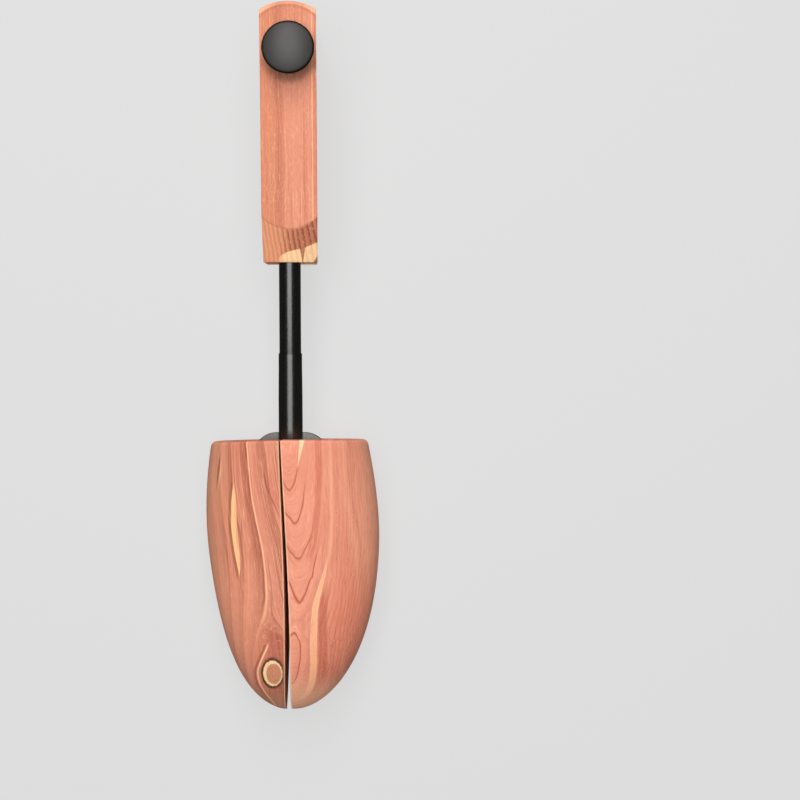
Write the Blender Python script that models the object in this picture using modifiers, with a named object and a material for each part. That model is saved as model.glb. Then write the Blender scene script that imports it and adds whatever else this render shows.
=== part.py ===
"""A cedar shoe tree: split toe block, telescoping spring shaft, narrow heel block with a knob.

+Y runs along the tree towards the heel, +X to its right, +Z up. The tree lies on its sole at z = 0,
with the origin below the middle of its bounding box.
"""
import math

import bmesh
import bpy
from mathutils import Matrix

MM = 0.001
GAP = 0.3 * MM                      # kept between pieces that touch

# Driving dimensions
LENGTH = 326.0 * MM
TOE_LENGTH = 126.8 * MM
TOE_HALF_WIDTH = 41.1 * MM
TOE_HEIGHT = 48.0 * MM
HEEL_LENGTH = 118.0 * MM
HEEL_WIDTH = 25.4 * MM              # a one-inch board
TUBE_RADIUS = 5.0 * MM              # the rear, inner tube
TUBE_RISE = math.radians(5.5)       # the shaft climbs towards the heel
TUBE_HEIGHT = 24.5 * MM             # its axis at the rear face of the toe block
KNOB_RADIUS = 11.75 * MM

TOE_TIP_Y = -LENGTH / 2
TOE_REAR_Y = TOE_TIP_Y + TOE_LENGTH
HEEL_REAR_Y = LENGTH / 2
HEEL_FRONT_Y = HEEL_REAR_Y - HEEL_LENGTH

# Toe block
NOSE_HEIGHT = 13.0 * MM             # the foremost point of the toe
CROWN_FALL = 11.0 * MM              # drop of the crown from rear to nose
BELLY_HEIGHT = 17.0 * MM            # where the block is widest
WAIST = 4.8 * MM                    # how much narrower each side is at the rear
SOFT_EDGE = 1.0 * MM
TOE_BEND = 2.1 * MM                 # how far the sides swing to the right ahead of the rear
TOE_REAR_SHIFT = 0.9 * MM           # how far the rear end lies to the left of the shaft
SPLIT_REAR = (-4.2 * MM, -3.6 * MM)     # inner faces of the left and right half, at the rear
SPLIT_NOSE = (-2.5 * MM, 0.1 * MM)      # and at the nose
SPLIT_BEND = 1.25 * MM              # how far they swing to the right between
TOE_SECTIONS = 20
TOE_POINTS = 18

# Toe plate, in the shaft's frame: u across, s along the shaft from the toe block's rear face
PLATE_RADIUS = 11.1 * MM
PLATE_FLAT = 6.5 * MM               # half the straight stretch between the round ends
PLATE_PROUD = 3.2 * MM              # how far it stands out behind the toe block
PLATE_THICKNESS = 2.5 * MM
PLATE_S = PLATE_PROUD - PLATE_RADIUS
PIVOT_U = 11.5 * MM
PIVOT_RADIUS = 2.0 * MM
PIVOT_LOW = -17.0 * MM
PIVOT_HIGH = 14.0 * MM

# Shaft, positions along the shaft from the toe block's rear face
OUTER_RADIUS = 5.55 * MM
OUTER_BORE = 5.15 * MM
MOUTH_RADIUS = 5.40 * MM
MOUTH_BORE = 5.07 * MM
OUTER_FRONT = -10.0 * MM
OUTER_MOUTH = 39.9 * MM
INNER_FRONT = 22.5 * MM
INNER_BORE = 4.4 * MM
TUBE_IN_HEEL = 45.0 * MM
HEEL_FRONT_S = (HEEL_FRONT_Y - TOE_REAR_Y) / math.cos(TUBE_RISE)
INNER_REAR = HEEL_FRONT_S + TUBE_IN_HEEL
CROSS_PIN_S = HEEL_FRONT_S + 38.0 * MM
CROSS_PIN_RADIUS = 1.5 * MM
CROSS_PIN_HALF = 11.4 * MM          # half its length
PLUG_REAR = -4.0 * MM
PLUG_FRONT = -17.0 * MM
RIVET_S = -13.8 * MM
RIVET_RADIUS = 1.5 * MM
RIVET_HALF = 4.8 * MM
SEAT_S = 53.0 * MM                  # rear face of the spring seat's flange
ROD_RADIUS = 1.4 * MM
COIL_RADIUS = 3.2 * MM
COIL_WIRE = 0.5 * MM
COIL_TURNS = 13

# Spring between the toe halves
SPREAD_Y = TOE_REAR_Y - 62.0 * MM
SPREAD_Z = 22.0 * MM
SPREAD_BORE = 4.5 * MM
SPREAD_DEPTH = 11.0 * MM
SPREAD_TURNS = 8
SPREAD_MIDDLE = -1.45 * MM          # the middle of the gap, there
SPREAD_START = SPREAD_MIDDLE - SPREAD_DEPTH + GAP
GUIDE_RADIUS = 1.6 * MM
GUIDE_GRIP = 6.0 * MM               # how deep the guide pin sits in the left half

# Heel block
HEEL_X = 0.6 * MM                   # the block's middle, beside the shaft's axis
RAMP_SLOPE = 0.169                  # the long upper face, falling to the front
NOSE_SLOPE = 0.445                  # the short upper face ahead of it
NOSE_RUN = 15.0 * MM
NOSE_TOP = 39.0 * MM                # upper edge of the front face
NOSE_BOTTOM = 22.0 * MM
NOSE_ARCH = 54.0 * MM               # radius of the short face's arch across the block
HEEL_TAPER = 0.05                   # how fast each side draws in below the upper face
HEEL_END_RADIUS = 24.0 * MM         # of the rear end seen from above
HEEL_TOP_EDGE = 1.2 * MM            # radius of the rear end's upper edge
HEEL_TOP_BACK = 3.3 * MM            # how far that edge stays ahead of the rear end's fullest point
HEEL_FOOT_RADIUS = 7.0 * MM         # radius of its lower edge
HEEL_FOOT_BACK = 2.0 * MM
HEEL_FLAT_START = 62.0 * MM         # where the flat base starts, from the front face
SHANK_START = 37.0 * MM             # where the arched underside bends up to the nose
SHANK_Z = 8.0 * MM

# Knob
KNOB_X = 1.1 * MM
KNOB_Y = HEEL_REAR_Y - 25.0 * MM
KNOB_SEAT_Z = 57.3 * MM             # floor of the counterbore below the knob
KNOB_TOP_Z = 71.0 * MM

FINE = 48                           # facets round the tubes
COARSE = 24

COLLECTION = "shoe_tree"
COLOURS = {                         # colour, roughness, metallic
    "cedar": ((0.72, 0.33, 0.20), 0.55, 0.0),
    "black_steel": ((0.012, 0.012, 0.011), 0.25, 0.6),
    "knob_black": ((0.07, 0.068, 0.065), 0.45, 0.0),
    "steel": ((0.55, 0.55, 0.56), 0.30, 1.0),
    "spring_steel": ((0.42, 0.42, 0.44), 0.35, 1.0),
    "brass": ((0.70, 0.52, 0.22), 0.30, 1.0),
}


def clear_scene():
    for item in list(bpy.data.objects):
        bpy.data.objects.remove(item, do_unlink=True)


def new_collection(name):
    group = bpy.data.collections.new(name)
    bpy.context.scene.collection.children.link(group)
    return group


def material(name, finish):
    colour, roughness, metallic = COLOURS[finish]
    made = bpy.data.materials.new(name)
    made.use_nodes = True
    shader = made.node_tree.nodes["Principled BSDF"]
    shader.inputs["Base Color"].default_value = (*colour, 1.0)
    shader.inputs["Roughness"].default_value = roughness
    shader.inputs["Metallic"].default_value = metallic
    return made


def add_object(name, data, finish, parent=None):
    made = bpy.data.objects.new(name, data)
    parts.objects.link(made)
    data.materials.append(material(name, finish))
    made.parent = parent
    return made


def place(item, at, turn=(0.0, 0.0, 0.0)):
    item.location = at
    item.rotation_euler = turn
    return item


def mesh_from(bm, name):
    bmesh.ops.recalc_face_normals(bm, faces=bm.faces)
    mesh = bpy.data.meshes.new(name)
    bm.to_mesh(mesh)
    bm.free()
    return mesh


def smooth(item, angle=40.0):
    item.data.shade_smooth()
    item.data.set_sharp_from_angle(angle=math.radians(angle))


def loft(name, rings):
    """A closed solid through rings of equally many points, capped at both ends."""
    bm = bmesh.new()
    rows = [[bm.verts.new(point) for point in ring] for ring in rings]
    count = len(rows[0])
    for low, high in zip(rows, rows[1:]):
        for i in range(count):
            j = (i + 1) % count
            bm.faces.new((low[i], low[j], high[j], high[i]))
    bm.faces.new(rows[0])
    bm.faces.new(rows[-1])
    return mesh_from(bm, name)


def turned(name, profile, finish, parent=None, closed=False, steps=FINE):
    """A profile of (radius, height) turned about Z. Its outer side runs from top to bottom."""
    bm = bmesh.new()
    verts = [bm.verts.new((radius, 0.0, height)) for radius, height in profile]
    for a, b in zip(verts, verts[1:]):
        bm.edges.new((a, b))
    if closed:
        bm.edges.new((verts[-1], verts[0]))
    mesh = bpy.data.meshes.new(name)
    bm.to_mesh(mesh)
    bm.free()
    made = add_object(name, mesh, finish, parent)
    screw = made.modifiers.new("turn", "SCREW")
    screw.axis = "Z"
    screw.steps = steps
    screw.render_steps = steps
    screw.use_merge_vertices = True
    screw.merge_threshold = 1e-6
    screw.use_smooth_shade = True
    return made


def ring_profile(bore, radius, low, high):
    return [(bore, high), (radius, high), (radius, low), (bore, low)]


def solid_profile(radius, low, high, chamfer):
    return [(0.0, high), (radius - chamfer, high), (radius, high - chamfer),
            (radius, low + chamfer), (radius - chamfer, low), (0.0, low)]


def cutter(name, mesh, at=(0.0, 0.0, 0.0), turn=(0.0, 0.0, 0.0), parent=None):
    made = bpy.data.objects.new(name, mesh)
    cutters.objects.link(made)
    made.hide_render = True
    made.display_type = "WIRE"
    made.parent = parent
    return place(made, at, turn)


def cylinder_mesh(name, radius, length, facets=COARSE):
    bm = bmesh.new()
    bmesh.ops.create_cone(bm, cap_ends=True, segments=facets, radius1=radius, radius2=radius, depth=length)
    return mesh_from(bm, name)


def box_mesh(name, size):
    bm = bmesh.new()
    bmesh.ops.create_cube(bm, size=1.0, matrix=Matrix.Diagonal((*size, 1.0)))
    return mesh_from(bm, name)


def cut(item, *tools):
    for tool in tools:
        boolean = item.modifiers.new(tool.name, "BOOLEAN")
        boolean.operation = "DIFFERENCE"
        boolean.solver = "EXACT"
        boolean.object = tool


def coil(name, length, turns, radius, wire, finish, parent=None):
    """An open-coiled spring along Z from 0 to length."""
    per_turn = 9
    count = turns * per_turn + 1
    curve = bpy.data.curves.new(name, "CURVE")
    curve.dimensions = "3D"
    curve.bevel_depth = wire
    curve.bevel_resolution = 2
    curve.use_fill_caps = True
    spline = curve.splines.new("POLY")
    spline.points.add(count - 1)
    for i in range(count):
        angle = 2 * math.pi * i / per_turn
        height = wire + (length - 2 * wire) * i / (count - 1)
        spline.points[i].co = (radius * math.cos(angle), radius * math.sin(angle), height, 1.0)
    return add_object(name, curve, finish, parent)


# Toe block

def toe_swing(u):
    """The share of its sideways bend that the block has at a share of its length."""
    return math.sin(math.pi * u ** 1.35)


def toe_middle(u):
    """The middle between the block's sides. It is bent, because the tree is for one foot of the pair."""
    return TOE_BEND * toe_swing(u) - TOE_REAR_SHIFT * (1 - u)


def split_face(u, side):
    index = 0 if side < 0 else 1
    straight = SPLIT_REAR[index] + (SPLIT_NOSE[index] - SPLIT_REAR[index]) * u
    return straight + SPLIT_BEND * toe_swing(u)


def toe_width(u):
    waist = WAIST * max(0.0, 1 - u / 0.42) ** 2
    return (TOE_HALF_WIDTH - waist) * math.sqrt(1 - u ** 3)


def toe_crown(u):
    line = TOE_HEIGHT - CROWN_FALL * u
    return NOSE_HEIGHT + (line - NOSE_HEIGHT) * math.sqrt(1 - u ** 9)


def toe_sole(u):
    return NOSE_HEIGHT * (1 - math.sqrt(1 - u ** 6)) - GAP


def toe_belly(u):
    return BELLY_HEIGHT + (NOSE_HEIGHT - BELLY_HEIGHT) * u ** 4


def toe_ring(u, side, inset):
    """One cross-section of a half: round the outside from sole to crown, closed by the upright inner face."""
    inner = split_face(u, side)
    outer = toe_middle(u) + side * (toe_width(u) - inset)
    belly = toe_belly(u)
    crown = toe_crown(u) - inset
    sole = toe_sole(u) + inset
    y = TOE_REAR_Y - TOE_LENGTH * u
    ring = []
    for i in range(TOE_POINTS):
        angle = math.pi * (i / (TOE_POINTS - 1) - 0.5)
        across = math.cos(angle)
        up = math.sin(angle)
        if up < 0:
            x = inner + (outer - inner) * across ** 0.42
            z = belly + (sole - belly) * (-up) ** 0.42
        else:
            x = inner + (outer - inner) * across ** 0.80
            z = belly + (crown - belly) * up ** 0.88
        ring.append((x, y, max(z, inset)))
    return ring


def toe_half(name, side, shaft, tools):
    rings = [toe_ring(0.0, side, SOFT_EDGE), toe_ring(0.004, side, SOFT_EDGE * 0.3)]
    for i in range(TOE_SECTIONS):
        u = 0.012 + 0.986 * math.sin(0.5 * math.pi * i / (TOE_SECTIONS - 1)) ** 0.9
        rings.append(toe_ring(u, side, 0.0))
    half = add_object(name, loft(name, rings), "cedar")
    cut(half, *tools)
    bore = cutter(name + "_pin_bore", cylinder_mesh(name + "_pin_bore", PIVOT_RADIUS + GAP, 80 * MM),
                  (side * PIVOT_U, PLATE_S, PIVOT_HIGH + GAP - 40 * MM), parent=shaft)
    cut(half, bore)
    if side < 0:
        pin_bore = cylinder_mesh("guide_pin_bore", GUIDE_RADIUS + GAP, 2 * GUIDE_GRIP)
        cut(half, cutter("guide_pin_bore", pin_bore, (SPREAD_START - GAP, SPREAD_Y, SPREAD_Z),
                         (0.0, math.pi / 2, 0.0)))
    smooth(half)
    return half


def toe_tools(shaft):
    """The slot for the plate, the pocket for the tube and the bores of the spreading spring."""
    slot_width = 2 * (PLATE_FLAT + PLATE_RADIUS + 2 * MM)
    slot_depth = 2 * PLATE_RADIUS + 6 * MM
    slot = cutter("plate_slot", box_mesh("plate_slot", (slot_width, slot_depth, PLATE_THICKNESS + 2 * GAP)),
                  (0.0, PLATE_S - PLATE_RADIUS - MM + slot_depth / 2, 0.0), parent=shaft)
    pocket_length = 40 * MM
    pocket = cutter("tube_pocket", cylinder_mesh("tube_pocket", 7.0 * MM, pocket_length),
                    (0.0, PLUG_FRONT - 2 * MM + pocket_length / 2, 0.0), (math.pi / 2, 0.0, 0.0), shaft)
    spring_bore = cutter("spread_bore", cylinder_mesh("spread_bore", SPREAD_BORE, 2 * SPREAD_DEPTH),
                         (SPREAD_MIDDLE, SPREAD_Y, SPREAD_Z), (0.0, math.pi / 2, 0.0))
    return [slot, pocket, spring_bore]


def toe_plate(shaft):
    """A stadium-shaped plate, notched for the tube, with holes for the pivots and the rivet."""
    name = "toe_plate"
    curve = bpy.data.curves.new(name, "CURVE")
    curve.dimensions = "2D"
    curve.fill_mode = "BOTH"
    curve.extrude = PLATE_THICKNESS / 2
    outline = []
    for end in (1, -1):
        for i in range(17):
            angle = end * math.pi / 2 - math.pi * i / 16
            outline.append((end * PLATE_FLAT + PLATE_RADIUS * math.cos(angle),
                            PLATE_S + PLATE_RADIUS * math.sin(angle)))
    notch_half = OUTER_RADIUS + GAP
    notch_end = OUTER_FRONT - GAP
    outline += [(-notch_half, PLATE_PROUD), (-notch_half, notch_end),
                (notch_half, notch_end), (notch_half, PLATE_PROUD)]
    loops = [outline]
    holes = [(-PIVOT_U, PLATE_S, PIVOT_RADIUS + 0.075 * MM), (PIVOT_U, PLATE_S, PIVOT_RADIUS + 0.075 * MM),
             (0.0, RIVET_S, RIVET_RADIUS + GAP)]
    for x, y, radius in holes:
        loops.append([(x + radius * math.cos(2 * math.pi * i / COARSE),
                       y + radius * math.sin(2 * math.pi * i / COARSE)) for i in range(COARSE)])
    for points in loops:
        spline = curve.splines.new("POLY")
        spline.points.add(len(points) - 1)
        for knot, (x, y) in zip(spline.points, points):
            knot.co = (x, y, 0.0, 1.0)
        spline.use_cyclic_u = True
    flat = bpy.data.objects.new(name + "_outline", curve)
    cutters.objects.link(flat)
    mesh = bpy.data.meshes.new_from_object(flat.evaluated_get(bpy.context.evaluated_depsgraph_get()))
    bpy.data.objects.remove(flat, do_unlink=True)
    bm = bmesh.new()
    bm.from_mesh(mesh)
    bmesh.ops.remove_doubles(bm, verts=bm.verts, dist=1e-6)
    mesh = mesh_from(bm, name)
    return add_object(name, mesh, "black_steel", shaft)


def pivot_pin(name, side, shaft):
    profile = solid_profile(PIVOT_RADIUS, PIVOT_LOW, PIVOT_HIGH, 0.4 * MM)
    pin = turned(name, profile, "steel", shaft, steps=COARSE)
    return place(pin, (side * PIVOT_U, PLATE_S, 0.0))


def spread_parts():
    """The spring between the toe halves and the pin that guides it, pressed into the left half."""
    turn = (0.0, math.pi / 2, 0.0)
    start = (SPREAD_START, SPREAD_Y, SPREAD_Z)
    length = 2 * (SPREAD_DEPTH - GAP)
    place(coil("spread_spring", length, SPREAD_TURNS, 3.4 * MM, 0.45 * MM, "spring_steel"), start, turn)
    profile = solid_profile(GUIDE_RADIUS, GAP - GUIDE_GRIP, length - GUIDE_GRIP, 0.3 * MM)
    place(turned("spread_guide_pin", profile, "steel", steps=COARSE), start, turn)


# Shaft

ALONG = (-math.pi / 2, 0.0, 0.0)    # turns a piece's Z onto the shaft's axis


def outer_tube(shaft):
    """The front tube, drawn in at its mouth."""
    taper = 3.0 * MM
    swell = OUTER_MOUTH - 22 * MM
    profile = [(MOUTH_BORE, OUTER_MOUTH), (MOUTH_RADIUS - 0.1 * MM, OUTER_MOUTH),
               (MOUTH_RADIUS, OUTER_MOUTH - 0.2 * MM), (MOUTH_RADIUS, OUTER_MOUTH - taper),
               (OUTER_RADIUS, swell), (OUTER_RADIUS, OUTER_FRONT), (OUTER_BORE, OUTER_FRONT),
               (OUTER_BORE, OUTER_MOUTH - taper - MM), (MOUTH_BORE, OUTER_MOUTH - taper)]
    return place(turned("outer_tube", profile, "black_steel", shaft, closed=True), (0, 0, 0), ALONG)


def inner_tube(shaft):
    profile = ring_profile(INNER_BORE, TUBE_RADIUS, INNER_FRONT, INNER_REAR)
    tube = turned("inner_tube", profile, "black_steel", shaft, closed=True)
    cut(tube, cross_cutter("inner_tube_pin_hole", shaft))
    return place(tube, (0, 0, 0), ALONG)


def cross_cutter(name, shaft):
    hole = cylinder_mesh(name, CROSS_PIN_RADIUS + GAP, 40 * MM)
    return cutter(name, hole, (0.0, CROSS_PIN_S, 0.0), (0.0, math.pi / 2, 0.0), shaft)


def heel_cross_pin(shaft):
    profile = solid_profile(CROSS_PIN_RADIUS, -CROSS_PIN_HALF, CROSS_PIN_HALF, 0.3 * MM)
    pin = turned("heel_cross_pin", profile, "steel", shaft, steps=COARSE)
    return place(pin, (0.0, CROSS_PIN_S, 0.0), (0.0, math.pi / 2, 0.0))


def front_plug(shaft):
    """The plug in the tube's front end, slotted for the plate and bored for the tie rod."""
    profile = solid_profile(OUTER_BORE - 0.05 * MM, PLUG_FRONT, PLUG_REAR, 0.4 * MM)
    plug = turned("front_plug", profile, "steel", shaft)
    slot_length = 12 * MM
    slot = cutter("plug_slot", box_mesh("plug_slot", (20 * MM, slot_length, PLATE_THICKNESS + 2 * GAP)),
                  (0.0, OUTER_FRONT + GAP - slot_length / 2, 0.0), parent=shaft)
    rivet_hole = cutter("plug_rivet_hole", cylinder_mesh("plug_rivet_hole", RIVET_RADIUS + GAP, 30 * MM),
                        (0.0, RIVET_S, 0.0), parent=shaft)
    rod_hole = cutter("plug_rod_hole", cylinder_mesh("plug_rod_hole", ROD_RADIUS + GAP, 10 * MM),
                      (0.0, PLUG_REAR - 4.6 * MM + 5 * MM, 0.0), (math.pi / 2, 0.0, 0.0), shaft)
    cut(plug, slot, rivet_hole, rod_hole)
    return place(plug, (0, 0, 0), ALONG)


def plug_rivet(shaft):
    profile = solid_profile(RIVET_RADIUS, -RIVET_HALF, RIVET_HALF, 0.4 * MM)
    rivet = turned("plug_rivet", profile, "steel", shaft, steps=COARSE)
    return place(rivet, (0.0, RIVET_S, 0.0))


def tie_rod(shaft):
    rod = turned("tie_rod", solid_profile(ROD_RADIUS, PLUG_REAR - 4.3 * MM, SEAT_S + 4 * MM, 0.3 * MM),
                 "steel", shaft, steps=COARSE)
    return place(rod, (0, 0, 0), ALONG)


def seat_pieces(shaft):
    """The stop nut, the spring seat, and the two rings that hold the seat in the inner tube."""
    nut = turned("stop_nut", ring_profile(ROD_RADIUS + GAP, 2.9 * MM, SEAT_S + GAP, SEAT_S + 2.8 * MM),
                 "brass", shaft, closed=True, steps=6)
    flange = SEAT_S - 3.0 * MM
    seat_outline = [(ROD_RADIUS + GAP, SEAT_S), (4.2 * MM, SEAT_S), (4.2 * MM, flange), (2.4 * MM, flange),
                    (2.4 * MM, flange - 5 * MM), (ROD_RADIUS + GAP, flange - 5 * MM)]
    seat = turned("spring_seat", seat_outline, "brass", shaft, closed=True)
    snap = turned("seat_snap_ring", ring_profile(3.95 * MM, 4.3 * MM, flange - MM, flange - GAP),
                  "spring_steel", shaft, closed=True)
    opening = cutter("snap_ring_gap", box_mesh("snap_ring_gap", (2.5 * MM, 4 * MM, 4 * MM)),
                     (0.0, flange - MM, 4.3 * MM), parent=shaft)
    cut(snap, opening)
    thrust = turned("thrust_ring", ring_profile(3.4 * MM, 4.3 * MM, SEAT_S + GAP, SEAT_S + 3.3 * MM),
                    "steel", shaft, closed=True)
    for piece in (nut, seat, snap, thrust):
        place(piece, (0, 0, 0), ALONG)


def main_spring(shaft):
    start = PLUG_REAR + GAP
    length = SEAT_S - 3.0 * MM - GAP - start
    return place(coil("main_spring", length, COIL_TURNS, COIL_RADIUS, COIL_WIRE, "spring_steel", shaft),
                 (0.0, start, 0.0), ALONG)


# Heel block

def ramp_height(y):
    start = NOSE_TOP + NOSE_SLOPE * NOSE_RUN
    return start + RAMP_SLOPE * (y - HEEL_FRONT_Y - NOSE_RUN)


def heel_ring(x, inset):
    """The side outline of the heel block at a distance x from its middle. Its sides draw in downwards."""
    arch = NOSE_ARCH - math.sqrt(NOSE_ARCH ** 2 - x ** 2)
    brow = NOSE_TOP - arch
    nose_run = NOSE_RUN + arch / (NOSE_SLOPE - RAMP_SLOPE)
    front = HEEL_FRONT_Y
    rear = HEEL_REAR_Y - HEEL_END_RADIUS + math.sqrt(HEEL_END_RADIUS ** 2 - x ** 2)
    ramp_end = rear - HEEL_TOP_BACK - HEEL_TOP_EDGE
    top = ramp_height(ramp_end)
    edge_z = top - HEEL_TOP_EDGE
    foot_end = rear - HEEL_FOOT_BACK - HEEL_FOOT_RADIUS
    outline = [(front, NOSE_BOTTOM), (front, (NOSE_BOTTOM + NOSE_TOP) / 2), (front, brow)]
    for share in (0.33, 0.66, 1.0):
        outline.append((front + nose_run * share, brow + NOSE_SLOPE * nose_run * share))
    for share in (0.33, 0.66, 1.0):
        y = front + nose_run + (ramp_end - front - nose_run) * share
        outline.append((y, ramp_height(y)))
    for angle in (65, 40, 15):
        turn = math.radians(angle)
        outline.append((ramp_end + HEEL_TOP_EDGE * math.cos(turn), edge_z + HEEL_TOP_EDGE * math.sin(turn)))
    for share in (0.2, 0.4, 0.6, 0.8):
        back = HEEL_TOP_BACK + (HEEL_FOOT_BACK - HEEL_TOP_BACK) * share
        y = rear - back * (1 - math.sin(math.pi * share))
        outline.append((y, edge_z + (HEEL_FOOT_RADIUS - edge_z) * share))
    for angle in (0, 30, 60, 90):
        turn = math.radians(angle)
        outline.append((foot_end + HEEL_FOOT_RADIUS * math.cos(turn),
                        HEEL_FOOT_RADIUS * (1 - math.sin(turn))))
    outline += [(front + HEEL_FLAT_START, 0.0), (front + SHANK_START, SHANK_Z)]
    ring = []
    for y, z in outline:
        y = front + HEEL_LENGTH / 2 + (y - front - HEEL_LENGTH / 2) * (1 - 2 * inset / HEEL_LENGTH)
        z = top / 2 + (z - top / 2) * (1 - 2 * inset / top)
        draw = HEEL_TAPER * max(0.0, ramp_height(y) - z)
        ring.append((HEEL_X + x * (1 - 2 * draw / HEEL_WIDTH), y, z))
    return ring


def heel_block(shaft):
    half = HEEL_WIDTH / 2
    edge = [(half, 0.5 * MM), (half - 0.2 * MM, 0.2 * MM), (half - 0.6 * MM, 0.0)]
    inside = [-8.0 * MM, -4.0 * MM, 0.0, 4.0 * MM, 8.0 * MM]
    stations = [(-x, inset) for x, inset in edge] + [(x, 0.0) for x in inside] + edge[::-1]
    rings = [heel_ring(x, inset) for x, inset in stations]
    block = add_object("heel_block", loft("heel_block", rings), "cedar")
    bore_length = TUBE_IN_HEEL + 20 * MM
    bore = cutter("heel_bore", cylinder_mesh("heel_bore", TUBE_RADIUS + GAP, bore_length, FINE),
                  (0.0, INNER_REAR + GAP - bore_length / 2, 0.0), (math.pi / 2, 0.0, 0.0), shaft)
    counterbore = cutter("knob_counterbore", cylinder_mesh("knob_counterbore", 6.6 * MM, 20 * MM, FINE),
                         (KNOB_X, KNOB_Y, KNOB_SEAT_Z + 10 * MM))
    insert_hole = cutter("insert_hole", cylinder_mesh("insert_hole", 4.0 * MM + GAP, 30 * MM),
                         (KNOB_X, KNOB_Y, KNOB_SEAT_Z))
    cut(block, bore, cross_cutter("heel_pin_hole", shaft), counterbore, insert_hole)
    smooth(block, 30.0)
    return block


# Knob

def knob():
    """A turned knob: a low dome over a narrow neck, bored from below for its stud."""
    neck = KNOB_SEAT_Z + 1.4 * MM
    brim = KNOB_SEAT_Z + 5.4 * MM
    rim = brim + 2.6 * MM
    profile = [(0.0, KNOB_TOP_Z)]
    for share in (0.2, 0.4, 0.6, 0.8, 0.92):
        profile.append((KNOB_RADIUS * share, KNOB_TOP_Z - (KNOB_TOP_Z - rim - 1.6 * MM) * share ** 2.2))
    profile += [(KNOB_RADIUS - 0.2 * MM, rim + 0.9 * MM), (KNOB_RADIUS, rim)]
    profile += [(KNOB_RADIUS - 0.3 * MM, brim + MM), (KNOB_RADIUS - 1.4 * MM, brim)]
    profile += [(7.0 * MM, brim - 0.2 * MM), (5.8 * MM, brim - 1.2 * MM), (5.6 * MM, neck)]
    profile += [(2.8 * MM, neck), (2.8 * MM, brim + 4.4 * MM), (0.0, brim + 5.0 * MM)]
    return place(turned("knob", profile, "knob_black"), (KNOB_X, KNOB_Y, 0.0))


def knob_fixings():
    seat = KNOB_SEAT_Z
    stud = turned("knob_stud", solid_profile(2.5 * MM, seat - 13 * MM, seat + 9.4 * MM, 0.3 * MM), "steel",
                  steps=COARSE)
    insert = turned("knob_insert", ring_profile(2.8 * MM, 4.0 * MM, seat - 13.5 * MM, seat - GAP), "brass",
                    closed=True, steps=COARSE)
    washer = turned("knob_washer", ring_profile(2.8 * MM, 6.2 * MM, seat + GAP, seat + 1.1 * MM), "steel",
                    closed=True, steps=COARSE)
    for piece in (stud, insert, washer):
        place(piece, (KNOB_X, KNOB_Y, 0.0))


clear_scene()
parts = new_collection(COLLECTION)
cutters = new_collection("cutters")
shaft_axis = bpy.data.objects.new("shaft_axis", None)
parts.objects.link(shaft_axis)
place(shaft_axis, (0.0, TOE_REAR_Y, TUBE_HEIGHT), (TUBE_RISE, 0.0, 0.0))

shared_tools = toe_tools(shaft_axis)
toe_half("toe_half_left", -1, shaft_axis, shared_tools)
toe_half("toe_half_right", 1, shaft_axis, shared_tools)
toe_plate(shaft_axis)
pivot_pin("pivot_pin_left", -1, shaft_axis)
pivot_pin("pivot_pin_right", 1, shaft_axis)
spread_parts()
outer_tube(shaft_axis)
inner_tube(shaft_axis)
front_plug(shaft_axis)
plug_rivet(shaft_axis)
tie_rod(shaft_axis)
seat_pieces(shaft_axis)
main_spring(shaft_axis)
heel_block(shaft_axis)
heel_cross_pin(shaft_axis)
knob()
knob_fixings()
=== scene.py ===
"""The looks of the cedar shoe tree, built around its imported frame.

+Y runs along the tree towards the heel, +X to its right, +Z up. Shapes are in metres. Materials measure in
millimetres, in the same frame, so that grain runs through a block as it does in solid wood.
"""
import math

import bmesh
import bpy
from mathutils import Matrix, Vector


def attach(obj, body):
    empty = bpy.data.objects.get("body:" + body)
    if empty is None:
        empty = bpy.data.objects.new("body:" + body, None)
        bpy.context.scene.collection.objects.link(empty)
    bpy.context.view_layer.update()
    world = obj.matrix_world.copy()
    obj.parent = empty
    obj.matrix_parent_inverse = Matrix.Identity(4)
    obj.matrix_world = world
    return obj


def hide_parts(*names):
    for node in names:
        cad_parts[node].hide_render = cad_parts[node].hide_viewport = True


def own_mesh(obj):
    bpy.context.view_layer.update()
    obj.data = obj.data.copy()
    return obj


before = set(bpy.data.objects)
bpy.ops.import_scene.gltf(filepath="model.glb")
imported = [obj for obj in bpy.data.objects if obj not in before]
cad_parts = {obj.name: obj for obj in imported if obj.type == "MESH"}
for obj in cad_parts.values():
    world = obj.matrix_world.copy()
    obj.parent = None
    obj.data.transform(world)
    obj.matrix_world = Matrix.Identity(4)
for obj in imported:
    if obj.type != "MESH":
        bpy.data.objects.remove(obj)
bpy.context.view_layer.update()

MM = 0.001
GAP = 0.3 * MM

# Main dimensions, the same as the frame's
LENGTH = 326.0 * MM
TOE_LENGTH = 126.8 * MM
TOE_HALF_WIDTH = 41.1 * MM
TOE_HEIGHT = 48.0 * MM
HEEL_LENGTH = 118.0 * MM
HEEL_WIDTH = 25.4 * MM
TUBE_RISE = math.radians(5.5)
TUBE_HEIGHT = 24.5 * MM
TOE_REAR_Y = -LENGTH / 2 + TOE_LENGTH
HEEL_REAR_Y = LENGTH / 2
HEEL_FRONT_Y = HEEL_REAR_Y - HEEL_LENGTH
HEEL_FRONT_S = (HEEL_FRONT_Y - TOE_REAR_Y) / math.cos(TUBE_RISE)
SHAFT = Matrix.Translation((0.0, TOE_REAR_Y, TUBE_HEIGHT)) @ Matrix.Rotation(TUBE_RISE, 4, "X")
ALONG = Matrix.Rotation(-math.pi / 2, 4, "X")       # turns a piece's Z onto the shaft's axis

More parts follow.
